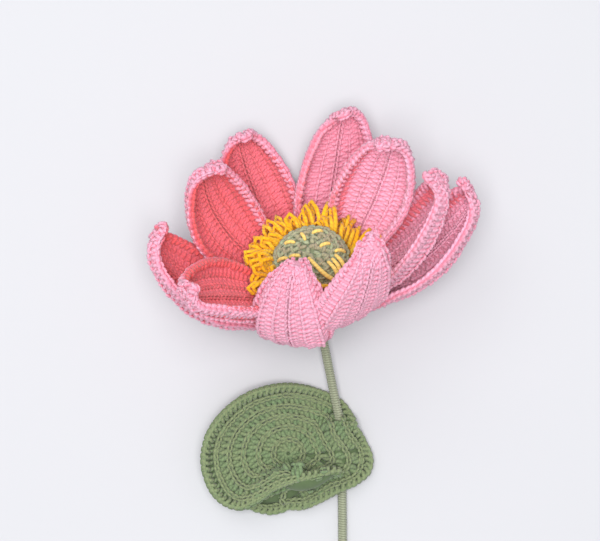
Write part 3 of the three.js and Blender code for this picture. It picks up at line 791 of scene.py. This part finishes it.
# %% Petals
for number, pose in enumerate(PETALS, start=1):
    name = f"petal_{number:02d}"
    fabric = Fabric(petal_grid(*pose[:6]))
    # The petal's tone is painted shade on its cloth, its stitches, its edge and its midrib.
    cloth = sheet_object(name + "_cloth", fabric.grid[::2, ::2], 0.9, PINK, tone_and_shade=pose[6])
    places, shaded_wall = petal_rows(fabric)
    # On the pale petals the wall that is worked first is painted in warm shade, the shade the other petals cast on it.
    tone_and_shade = pose[6] + (0.75 - pose[6]) * shaded_wall * (pose[6] < 0.5)
    stitches = lay(name + "_stitches", places, TALL_STITCH, PINK, height=TALL, seed=number, tone_and_shade=tone_and_shade)
    edge_places = petal_edge(fabric)
    edge_share = np.linspace(0, 1, len(edge_places[0]))
    # The edge is painted in warm shade on the side of the petal that turns from the light, more so on the darker
    # petals.
    shaded = smooth((0.46 - edge_share if pose[0] > 0 else edge_share - 0.54) / 0.1 + 0.5)
    edge_shade = pose[6] * (0.3 + 1.2 * shaded)
    edge = lay(name + "_edge", edge_places, EDGE_STITCH, PINK, seed=number + 20, uneven=0.08, tone_and_shade=edge_shade)
    midrib = lay(name + "_midrib", petal_midrib(fabric), CHAIN_STITCH, PINK, seed=number + 40, tone_and_shade=pose[6])
    for piece in (cloth, stitches, edge, midrib):
        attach(piece, "root")
    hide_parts(name)
    print(name, "stitches:", len(places[0]), "triangles:", sum(len(p.vertices) - 2 for p in stitches.data.polygons))

# %% [markdown]
# The pod is a stuffed cover worked in a spiral of short stitches from the middle of its top. Its
# outline is a smooth line turned round the bloom's axis.

# %% Outline of the pod
POD_FOOT_DEPTH = 5
POD_RADIUS = 18.6
POD_HEIGHT = 44.5
POD_SHOULDER = 34
POD_LINE = [
    (POD_FOOT_RADIUS - 2.4, 0, -POD_FOOT_DEPTH + 0.6),
    (POD_FOOT_RADIUS, 0, -POD_FOOT_DEPTH + 3.4),
    (POD_FOOT_RADIUS, 0, 2 * TIER_STEP + FABRIC / 2),
    (POD_FOOT_RADIUS + 0.65 * (POD_RADIUS - POD_FOOT_RADIUS), 0, POD_SHOULDER - 12),
    (POD_RADIUS, 0, POD_SHOULDER),
    (POD_RADIUS - 2.6, 0, POD_HEIGHT - 4.6),
    (POD_RADIUS - 8.6, 0, POD_HEIGHT - 1.2),
    (0, 0, POD_HEIGHT),
]
pod_line = spline(POD_LINE, 160)[::-1]
pod_out = unit(np.cross(np.gradient(pod_line, axis=0), np.array([0.0, 1.0, 0.0])))
pod_out *= np.sign(pod_out[40, 2] + pod_out[40, 0])
pod_length = np.concatenate([[0], np.cumsum(np.linalg.norm(np.diff(pod_line, axis=0), axis=1))])


def on_pod(distance, azimuth, lift=0.0):
    """Place and outward way on the pod, at a distance from the middle of its top along its surface."""
    flat = np.column_stack([np.interp(distance, pod_length, (pod_line + lift * pod_out)[:, k]) for k in (0, 2)])
    out = np.column_stack([np.interp(distance, pod_length, pod_out[:, k]) for k in (0, 2)])
    c, s = np.cos(azimuth), np.sin(azimuth)
    return (
        np.column_stack([flat[:, 0] * c, flat[:, 0] * s, flat[:, 1]]),
        np.column_stack([out[:, 0] * c, out[:, 0] * s, out[:, 1]]),
    )


# %% Pod
POD_PITCH = 3.5
ROUND_STEP = 3.7


def pod_spiral():
    """Distance and azimuth of every stitch of the spiral, from the top down."""
    distance, azimuth, found = 1.6, 0.0, []
    while distance < pod_length[-1] - 2:
        radius = max(np.interp(distance, pod_length, pod_line[:, 0]), 1.6)
        found.append((distance, azimuth))
        turn = POD_PITCH / radius
        azimuth -= turn
        distance += ROUND_STEP * turn / (2 * math.pi)
    return np.array(found).T


def pod_stitches():
    distance, azimuth = pod_spiral()
    lift = -1.5
    foot = on_pod(distance - 0.5 * ROUND_STEP, azimuth, lift)[0]
    head = on_pod(distance + 0.5 * ROUND_STEP, azimuth, lift)[0]
    out = on_pod(distance, azimuth)[1]
    row = unit(np.cross(head - foot, out))
    return foot @ HEAD.T + BLOOM, row @ HEAD.T * (POD_PITCH / PITCH), (head - foot) @ HEAD.T, out @ HEAD.T


def turned_object(name, profile, segments, material, wraps=False):
    """A closed body turned round the bloom's axis from an outline of (radius, height)."""
    turn = 2 * math.pi * np.arange(segments) / segments
    points, faces = [], []
    rings = []
    for r, h in profile:
        if r < 1e-6:
            rings.append([len(points)])
            points.append((0, 0, h))
        else:
            rings.append(list(range(len(points), len(points) + segments)))
            points += [(r * math.cos(a), r * math.sin(a), h) for a in turn]
    pairs = list(zip(rings, rings[1:])) + ([(rings[-1], rings[0])] if wraps else [])
    for a, b in pairs:
        for k in range(segments):
            m = (k + 1) % segments
            corners = [a[k % len(a)], b[k % len(b)], b[m % len(b)], a[m % len(a)]]
            kept = [c for n, c in enumerate(corners) if c not in corners[:n]]
            faces.append(tuple(kept))
    # The body carries no side, so its yarn takes the painted shade of the gaps between strands.
    mesh = bpy.data.meshes.new(name)
    mesh.from_pydata((in_bloom(np.array(points, float)) * MM).tolist(), [], faces)
    mesh.shade_smooth()
    mesh.materials.append(material)
    obj = bpy.data.objects.new(name, mesh)
    bpy.context.collection.objects.link(obj)
    return obj


pod_inner = pod_line - 1.5 * pod_out
profile = [(0, pod_inner[0, 2])] + [(r, h) for r, _, h in pod_inner[4::6]] + [(2.8, 1.2 - POD_FOOT_DEPTH)]
inside = [(2.8, 3.2 - POD_FOOT_DEPTH)] + [(r - 1, h) for r, _, h in (pod_line - 2.4 * pod_out)[-12:8:-12]] + [(0, pod_inner[0, 2] - 1)]
pod_cloth = turned_object("pod_cloth", profile + inside, 32, POD_GREEN)
pod_places = pod_stitches()
rng = np.random.default_rng(4)
pod_knit = lay("pod_stitches", pod_places, SHORT_STITCH, POD_GREEN, height=SHORT, plump=1.0, uneven=0.09, seed=21, tone_and_shade=rng.uniform(0, 0.8, len(pod_places[0])))
for piece in (pod_cloth, pod_knit):
    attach(piece, "root")
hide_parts("pod_cover")
print("pod stitches:", len(pod_places[0]))

# %% [markdown]
# The fringe is yarn drawn through the pod's foot in loops, several to each place, that splay
# outwards. A few shapes of loop, each laid many times at a different lean, look like more.

# %% Fringe
FRINGE_FOOT = 15
FRINGE_BAND_HEIGHT = 3
FRINGE_YARN = 1.05


def loop_object(name, out, up, gap, curl, droop):
    """A loop with x outwards, y up and z round the pod, from its foot to its bend and back."""
    rising = [(0, 0, 0.5), (0.14 * out, 0.42 * up, gap), (0.5 * out, 0.82 * up, 1.5 * gap), (0.92 * out, up, gap + curl)]
    bend = [(out + 0.4, up - 1.2 - droop, curl)]
    falling = [(0.86 * out, 0.86 * up - droop, curl - gap), (0.5 * out, 0.64 * up, -1.2 * gap), (0.2 * out, 0.3 * up, -gap)]
    line = spline(rising + bend + falling + [(0.8, -0.4, -0.5)], 15)
    return strands_object(name, [strand(line, FRINGE_YARN, sides=6)], 1.2)


LOOPS = [
    loop_object("loop_wide", 17, 20, 1.3, 2.2, 1.4),
    loop_object("loop_tall", 12, 24, 1.0, -2.4, 0.5),
    loop_object("loop_low", 17, 14, 1.4, -1.2, 1.8),
    loop_object("loop_short", 9, 18, 1.3, 2.0, 0.6),
    loop_object("loop_steep", 7, 23, 1.2, -1.0, 0.0),
    loop_object("loop_hooked", 13, 18, 1.5, -3.2, 3.0),
]
LOOP_COUNT = 36
fringe_top = FRINGE_FOOT + FRINGE_BAND_HEIGHT
pod_radius = np.interp(fringe_top, pod_line[::-1, 2], pod_line[::-1, 0])
tufts = []
for kind, loop in enumerate(LOOPS):
    rng = np.random.default_rng(30 + kind)
    azimuth = 2 * math.pi * (np.arange(LOOP_COUNT) + kind / len(LOOPS) + rng.uniform(-0.4, 0.4, LOOP_COUNT)) / LOOP_COUNT
    back, aside = rng.uniform(-0.12, 0.2, LOOP_COUNT)[:, None], rng.uniform(-0.35, 0.35, LOOP_COUNT)[:, None]
    radius = pod_radius + 0.9 + 0.3 * kind
    foot = np.column_stack([radius * np.cos(azimuth), radius * np.sin(azimuth), FRINGE_FOOT + 1.5 + 0 * azimuth])
    outward = np.column_stack([np.cos(azimuth), np.sin(azimuth), 0 * azimuth])
    round_way = np.column_stack([-np.sin(azimuth), np.cos(azimuth), 0 * azimuth])
    upward = unit(np.array([[0.0, 0.0, 1.0]]) + outward * back + round_way * aside)
    sideways = unit(np.cross(outward, upward))
    size = rng.uniform(0.84, 1.08, LOOP_COUNT)[:, None]
    places = tuple(way @ HEAD.T for way in (unit(np.cross(upward, sideways)) * size, upward * size, sideways))
    tone_and_shade = rng.uniform(0, 1, LOOP_COUNT)
    tufts.append(lay(f"fringe_{kind + 1}", (in_bloom(foot), *places), loop, YELLOW, uneven=0.12, seed=40 + kind, tone_and_shade=tone_and_shade))
band = [(0.3, 0), (2.2, 0), (2.6, 1.5), (2.2, 3), (0.3, 3)]
fringe_band = turned_object("fringe_band", [(pod_radius + r, FRINGE_FOOT + h) for r, h in band], 40, YELLOW, wraps=True)

# Strands that lean in over the pod: foot azimuth, and distance and azimuth of the end
STRAYS = [(-60, 8.0, -99), (-54, 13.0, -54), (-48, 13.2, -42), (-39, 13.3, -30)]
top_order = np.argsort(pod_line[:80, 0])


def pod_top(radius):
    return np.interp(radius, pod_line[:80][top_order, 0], pod_line[:80][top_order, 2])


def polar(radius, azimuth, height):
    return (radius * math.cos(math.radians(azimuth)), radius * math.sin(math.radians(azimuth)), height)


stray_parts = []
for azimuth, reach, end in STRAYS:
    halfway = (2 * azimuth + end) / 3
    bends = [
        polar(pod_radius + 2, azimuth, fringe_top - 1),
        polar(19.4, azimuth, POD_SHOULDER - 8),
        polar(POD_RADIUS + 1.4, azimuth, POD_SHOULDER + 1.5),
        polar(POD_RADIUS - 1.2, halfway, POD_HEIGHT - 2.6),
        polar(reach, end, pod_top(reach) + 1.1),
    ]
    stray_parts.append(strand(in_bloom(spline(bends, 16)), 1.15 * (1 - 0.3 * np.linspace(0, 1, 16) ** 6), sides=8))
strays = strands_object("fringe_strays", stray_parts, 1.0)
strays.data.materials.append(SEED)
for piece in (*tufts, fringe_band, strays):
    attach(piece, "root")
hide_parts("stamen_fringe")
print("loops in the fringe:", len(LOOPS) * LOOP_COUNT)

# %% [markdown]
# The seeds are short bars of pale yarn embroidered on the pod's top.

# %% Seeds
SEED_LENGTH = 5
SEED_RADIUS = 0.9
# distance from the axis, azimuth, and turn from running round the axis
SEEDS = [
    (10.2, 155, -82),
    (6.9, 110, 88),
    (9.9, 61, 44),
    (7.5, -5, -67),
    (9.1, -147, 44),
    (14.2, -164, 55),
    (14.6, -14, -58),
]
share = np.linspace(-0.5, 0.5, 11)
for number, (radius, azimuth, turn) in enumerate(SEEDS, start=1):
    azimuth, turn = math.radians(azimuth), math.radians(turn)
    middle = radius * np.array([math.cos(azimuth), math.sin(azimuth)])
    across = np.array([-math.sin(azimuth + turn), math.cos(azimuth + turn)])
    xy = middle + share[:, None] * SEED_LENGTH * across
    line = np.column_stack([xy, pod_top(np.hypot(xy[:, 0], xy[:, 1])) + SEED_RADIUS + 0.1 - 18 * share**4])
    body = strands_object(f"seed_{number}", [strand(in_bloom(line), SEED_RADIUS * (1 - 4 * share**4), sides=8)], 1.0)
    body.data.materials.append(SEED)
    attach(body, "root")
    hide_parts(f"seed_stitch_{number}")
print("seeds:", len(SEEDS))

# %% [markdown]
# The stem is a wire in a sleeve of yarn wound round it turn by turn. One turn of the winding is
# laid again and again along the stem's line, and each turn ends where the next one starts.

# %% Line of the stem
SLEEVE_RADIUS = 2.4
STEM_BENDS = [
    (3, -17.5, 9),
    (5.5, -30, 7.6),
    (8.5, -45, 7.1),
    (11.5, -60, 5.6),
    (12.7, -77, 3.4),
    (13, -95, 2.6),
    (13.2, -120, SLEEVE_RADIUS),
    (13, -160, SLEEVE_RADIUS),
    (12, -200, SLEEVE_RADIUS),
]
top = np.array([0, 0, BLOOM[2]])
bends = [top + AXIS * d for d in (WIRE_IN_POD, -6, -13)] + [np.array(b, float) for b in (*STEM_BENDS, STEM_FOOT)]
stem_line = spline(bends, 600) + np.array([BLOOM[0], BLOOM[1], 0])
stem_length = np.concatenate([[0], np.cumsum(np.linalg.norm(np.diff(stem_line, axis=0), axis=1))])
start = WIRE_IN_POD + 1
print("stem length:", round(stem_length[-1], 1))

# %% Winding
WINDING = 1.25
WOUND_YARN = 0.66


def winding_object():
    """One turn of yarn, with y along the stem."""
    turn = np.linspace(0, 2 * math.pi, 15)
    radius = SLEEVE_RADIUS - WOUND_YARN
    line = np.column_stack([radius * np.cos(turn), WINDING * turn / (2 * math.pi), radius * np.sin(turn)])
    return strands_object("one_turn", [strand(line, WOUND_YARN, sides=5)], 2.2)


def tube_grid(line, radius, sides):
    _, up, right = carried_frames(line)
    turn = 2 * math.pi * np.arange(sides + 1) / sides
    return line[:, None] + radius * (np.cos(turn)[None, :, None] * up[:, None] + np.sin(turn)[None, :, None] * right[:, None])


turns = np.arange(start, stem_length[-1] - WINDING, WINDING)
centre = np.column_stack([np.interp(turns, stem_length, stem_line[:, k]) for k in range(3)])
ahead, up, right = carried_frames(centre)
winding = lay("stem_winding", (centre, right, ahead, up), winding_object(), STEM_GREEN, uneven=0.0, seed=3, tone_and_shade=0.0)
core_line = stem_line[(stem_length > start) & (stem_length < stem_length[-1] - 0.3)][::8]
core_parts = []
for radius in (1.9, WIRE_RADIUS + 0.3):
    core_parts.append(tube_grid(core_line, radius, 12)[:, :-1])
outer_ring, inner_ring = core_parts
rows, sides = outer_ring.shape[:2]
points = np.vstack([outer_ring.reshape(-1, 3), inner_ring.reshape(-1, 3)])
faces = []
for i in range(rows - 1):
    for k in range(sides):
        a, b = i * sides + k, i * sides + (k + 1) % sides
        faces.append((a, a + sides, b + sides, b))
        faces.append((a + rows * sides, b + rows * sides, b + sides + rows * sides, a + sides + rows * sides))
for i in (0, rows - 1):
    for k in range(sides):
        a, b = i * sides + k, i * sides + (k + 1) % sides
        face = (a, b, b + rows * sides, a + rows * sides)
        faces.append(face if i == 0 else face[::-1])
# The core carries no side either, so it is painted in the shade of the gaps between the turns.
mesh = bpy.data.meshes.new("stem_core")
mesh.from_pydata((points * MM).tolist(), [], faces)
mesh.shade_smooth()
mesh.materials.append(STEM_GREEN)
core = bpy.data.objects.new("stem_core", mesh)
bpy.context.collection.objects.link(core)
for piece in (winding, core):
    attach(piece, "root")
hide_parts("stem_sleeve")
print("turns of winding:", len(turns))

# %% [markdown]
# The leaf is one round of tall stitches, worked from its middle in widening rounds and closed with a
# border. It is cupped, it rides over the stem, and its front edge is laid in one deep pleat. Its rim
# is a closed line through a few points, and the rounds inside follow it more and more.

# %% Shape of the leaf
LEAF_CENTRE = np.array([-14.5, -77, 2.3])
LEAF_RADIUS = 40
LEAF_STEM_CLEARANCE = 0.7
LEAF_RIDGE_RADIUS = 9
LEAF_RIM = [
    (28, -79, 4), (24.5, -71, 3), (19.5, -63, 2.4), (17.2, -56.5, 2.2), (12.4, -50.4, 2.1),
    (4.6, -46.4, 2.4), (-6, -43, 5.5), (-18.9, -42, 9.5), (-34.6, -46.2, 13), (-47.2, -55.3, 15),
    (-55.2, -67, 16), (-57.6, -79.4, 16), (-55, -90.9, 15.5), (-49.4, -99.4, 14.5), (-40, -103.4, 14),
    (-31, -99.5, 15.5), (-22, -93.5, 17), (-12.5, -89.5, 18), (0.3, -86, 19.6), (8.5, -84.6, 18.8),
    (12.5, -85.8, 15.4), (8, -87.4, 12.4), (-4, -90.6, 11.2), (-18, -95, 10), (-29, -99, 8.6),
    (-36, -102, 6.4), (-31, -105.6, 4), (-23, -106.8, 3.4), (-15, -104.9, 3.6), (-7, -104.6, 4.4), (2, -100.8, 6),
    (11, -95.8, 7.6), (21.3, -91, 6.4), (27, -86, 5),
]
PLEAT_FROM, PLEAT_TO, PLEAT_TURN = 0.449, 0.86, 213


def leaf_grid(rings=61, spokes=264):
    share = np.arange(spokes + 1) / spokes
    rim = spline(LEAF_RIM, spokes, closed=True)
    edge = np.vstack([rim, rim[:1]]) - LEAF_CENTRE
    q = np.linspace(0, 1, rings)[:, None]
    pleated = smooth((share - PLEAT_FROM) / 0.08 + 0.5) * (1 - smooth((share - PLEAT_TO) / 0.08))
    before, past = share / PLEAT_FROM, (share - PLEAT_FROM) / (1 - PLEAT_FROM)
    flat = np.radians(np.where(before < 1, -3 + (PLEAT_TURN + 3) * before, PLEAT_TURN + (357 - PLEAT_TURN) * past))
    off = np.arctan2(edge[:, 1], edge[:, 0]) - flat
    slide = smooth((q - (0.2 + 0.25 * pleated)) / (0.8 - 0.3 * pleated))
    turn = flat + slide * np.arctan2(np.sin(off), np.cos(off))
    climb = (1 - pleated) * q**2.6 + pleated * smooth((q - 0.25) / 0.5)
    reach = LEAF_RADIUS + (np.hypot(edge[:, 0], edge[:, 1]) - LEAF_RADIUS) * smooth(q / 0.7)
    reach = reach * q
    grid = np.stack([reach * np.cos(turn), reach * np.sin(turn), edge[:, 2] * climb], axis=2) + LEAF_CENTRE
    # Where the leaf lies over the stem it is held up by it
    line = stem_line - np.array([BLOOM[0], BLOOM[1], 0])
    y = np.maximum(grid[..., 1], STEM_FOOT[1] / 2)
    order = np.argsort(line[:, 1])
    beside, under = (np.interp(y, line[order, 1], line[order, k]) for k in (0, 2))
    crest = under + SLEEVE_RADIUS + FABRIC / 2 + LEAF_STEM_CLEARANCE
    ridge = smooth((-54 - grid[..., 1]) / 9) * (crest - (grid[..., 0] - beside) ** 2 / (2 * LEAF_RIDGE_RADIUS))
    grid[..., 2] = np.maximum(grid[..., 2], ridge)
    return grid + np.array([BLOOM[0], BLOOM[1], 0])


leaf_fabric = Fabric(leaf_grid(), wraps=True)
print("leaf area, square cm:", round(area_of(leaf_fabric.grid) * 1e4, 1))

# %% Where the pleat begins and turns
def rim_share(x, y):
    """Share of the way round the rim, at the point nearest to a place."""
    rim = spline(LEAF_RIM, 600, closed=True)[:, :2]
    return float(np.argmin(np.hypot(rim[:, 0] - x, rim[:, 1] - y))) / 600


BAND_FROM, BAND_TO = rim_share(-40, -103.4), rim_share(12.5, -85.8)  # front edge, on top of the pleat
UNDER_TO = rim_share(-36, -102)  # the layer below it runs back to here
LIP_TO = rim_share(27, -86)  # and the lowest layer comes forward again to here
print("pleat at", [round(v, 3) for v in (BAND_FROM, BAND_TO, UNDER_TO, LIP_TO)])


def kept_round(share, high):
    """Which stitches of a round show: the hidden part of the pleat, under the band, carries none."""
    in_under = (share > BAND_TO - 0.015) & (share < UNDER_TO) & (high > 0.95)
    return ~in_under


# %% Rounds of the leaf
LEAF_ROUNDS = [0.03, 0.19, 0.37, 0.545, 0.71, 0.865]
BORDER = (0.875, 0.985)
LEAF_PITCH = 3.4


def leaf_round(low, high, pitch, offset):
    """Stitches of one round, clear of the stem and of the hidden parts of the pleat."""
    middle = (low + 2 * high) / 3
    share = np.linspace(0, 1, 1201)
    line = leaf_fabric.at(np.full(1201, middle), share)
    length = np.concatenate([[0], np.cumsum(np.linalg.norm(np.diff(line, axis=0), axis=1))])
    count = max(8, int(round(length[-1] / pitch)))
    share = np.interp((np.arange(count) + offset) * length[-1] / count, length, share)
    foot, head = leaf_fabric.at(np.full(count, low), share), leaf_fabric.at(np.full(count, high), share)
    ways = leaf_fabric.at(np.full(count, middle), share - 0.002) - leaf_fabric.at(np.full(count, middle), share + 0.002)
    row = unit(ways) * (length[-1] / count / PITCH)
    face = unit(np.cross(row, head - foot))
    away = np.linalg.norm(((foot + head) / 2)[:, None] - stem_line[None, ::6], axis=2).min(axis=1)
    post = head - foot
    tall = np.linalg.norm(post, axis=1) / (LEAF_RADIUS * (high - low))
    flat = (tall > 0.4) & (tall < 1.4)
    kept = (away > 2.7) & flat & kept_round(share, high)
    return tuple(x[kept] for x in (foot, row, post, face))


def leaf_line(q, pitch, lift=0.0):
    """Places of chain links laid along the leaf at one share of the way out."""
    share = np.linspace(0, 1, 1201)
    line = leaf_fabric.at(np.full(1201, q), share)
    length = np.concatenate([[0], np.cumsum(np.linalg.norm(np.diff(line, axis=0), axis=1))])
    count = int(round(length[-1] / pitch))
    share = np.interp((np.arange(count) + 0.5) * length[-1] / count, length, share)
    foot = leaf_fabric.at(np.full(count, q), share)
    way = unit(leaf_fabric.at(np.full(count, q), share - 0.002) - leaf_fabric.at(np.full(count, q), share + 0.002))
    out = unit(leaf_fabric.at(np.full(count, min(q + 0.03, 1.0)), share) - leaf_fabric.at(np.full(count, q - 0.03), share))
    face = unit(np.cross(way, out))
    away = np.linalg.norm(foot[:, None] - stem_line[None, ::6], axis=2).min(axis=1)
    kept = (kept_round(share, q) | (q > 0.98)) & ((face[:, 2] > 0.3) | (q > 0.87)) & (away > 2.7)
    return tuple(x[kept] for x in (foot + lift * face, way * (length[-1] / count / PITCH), out, face))


leaf_rounds = [leaf_round(a, b, LEAF_PITCH, 0.37 * k) for k, (a, b) in enumerate(zip(LEAF_ROUNDS, LEAF_ROUNDS[1:]))]
leaf_places = tuple(np.vstack(x) for x in zip(*leaf_rounds))
LEAF_STITCH = stitch("leaf_stitch", 8.0, turns=1.2, yarn_radius=1.08, rings=7)
BORDER_STITCH = stitch("border_stitch", 5.0, turns=0.8, yarn_radius=0.9, rings=5)
rng = np.random.default_rng(8)
leaf_tone = rng.uniform(0, 0.6, len(leaf_places[0]))
leaf_knit = lay("leaf_stitches", leaf_places, LEAF_STITCH, LEAF_GREEN, height=8.0, uneven=0.08, seed=8, tone_and_shade=leaf_tone)
border_places = leaf_round(*BORDER, 3.1, 0.5)
leaf_border = lay("leaf_border", border_places, BORDER_STITCH, LEAF_GREEN, height=5.0, uneven=0.06, seed=9, tone_and_shade=0.3)
rim_places, chain_places = leaf_line(0.985, 3.1), leaf_line(0.87, 3.1, lift=0.5)
leaf_rim = lay("leaf_rim", rim_places, EDGE_STITCH, LEAF_GREEN, uneven=0.06, seed=10, tone_and_shade=0.6)
ridges = [leaf_line(q, 3.3, lift=0.35) for q in LEAF_ROUNDS[1:-1]]
chain_places = tuple(np.vstack(x) for x in zip(chain_places, *ridges))
leaf_chain = lay("leaf_chain", chain_places, CHAIN_STITCH, LEAF_GREEN, uneven=0.1, seed=11, tone_and_shade=0.7)
leaf_up = unit(np.cross(np.gradient(leaf_fabric.grid, axis=0), np.gradient(leaf_fabric.grid, axis=1)))
leaf_up[0] = (0, 0, 1)
lowered = leaf_fabric.grid - 0.7 * smooth(leaf_up[..., 2:]) * leaf_up
# The leaf's cloth, with a lit of almost nothing, is painted nearly wholly as shade, so that where it shows between the
# stitches it reads as shadow.
leaf_cloth = sheet_object("leaf_cloth", lowered[::2, ::2], 0.8, LEAF_GREEN, tone_and_shade=0.3, wraps=True, lit=0.05)
leaf_pieces = [leaf_knit, leaf_border, leaf_rim, leaf_chain]
for piece in (*leaf_pieces, leaf_cloth):
    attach(piece, "root")
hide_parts("leaf")
leaf_area = area_of(leaf_fabric.grid)
across = 2 * math.sqrt(leaf_area / math.pi)
print("leaf stitches:", len(leaf_places[0]) + len(border_places[0]), "flat diameter, mm:", round(across / MM))

# %% [markdown]
# Two solids of the frame stay as they are: the wire, of which only the cut end shows, and the
# wadding, which is shut inside the pod.

# %% Wire and wadding
def plain(name, colour, roughness, metallic, grain, depth):
    material = bpy.data.materials.new(name)
    material.use_nodes = True
    tree = material.node_tree
    shader = tree.nodes["Principled BSDF"]
    place = node(tree, "ShaderNodeTexCoord", {}, {}).part("Object")
    spots = node(tree, "ShaderNodeTexNoise", {}, {"Vector": place, "Scale": grain, "Detail": 3.0}).part("Fac")
    lighter = tuple(min(1.0, 1.15 * c) for c in colour)
    darker = tuple(0.8 * c for c in colour)
    tree.links.new(blend(tree, spots, (*darker, 1), (*lighter, 1)).socket, shader.inputs["Base Color"])
    bump = node(tree, "ShaderNodeBump", {}, {"Strength": 0.5, "Distance": depth, "Height": spots})
    tree.links.new(bump.socket, shader.inputs["Normal"])
    shader.inputs["Roughness"].default_value = roughness
    shader.inputs["Metallic"].default_value = metallic
    return material


for solid, material in (
    ("stem_wire", plain("drawn_wire", (0.45, 0.46, 0.47), 0.4, 0.9, 900.0, 0.00005)),
    ("pod_stuffing", plain("wadding", (0.86, 0.85, 0.81), 0.95, 0.0, 400.0, 0.0006)),
):
    obj = bpy.data.objects[solid]
    for slot in obj.material_slots:
        slot.material = material
print("kept solids: stem_wire, pod_stuffing")

# %% [markdown]
# The single stitches and loops were only patterns, and are taken away.

# %% Take away the patterns
for obj in list(bpy.data.objects):
    if obj.name in ("tall_stitch", "short_stitch", "edge_stitch", "chain_stitch", "leaf_stitch", "border_stitch", "one_turn") or obj.name.startswith("loop_"):
        bpy.data.objects.remove(obj)
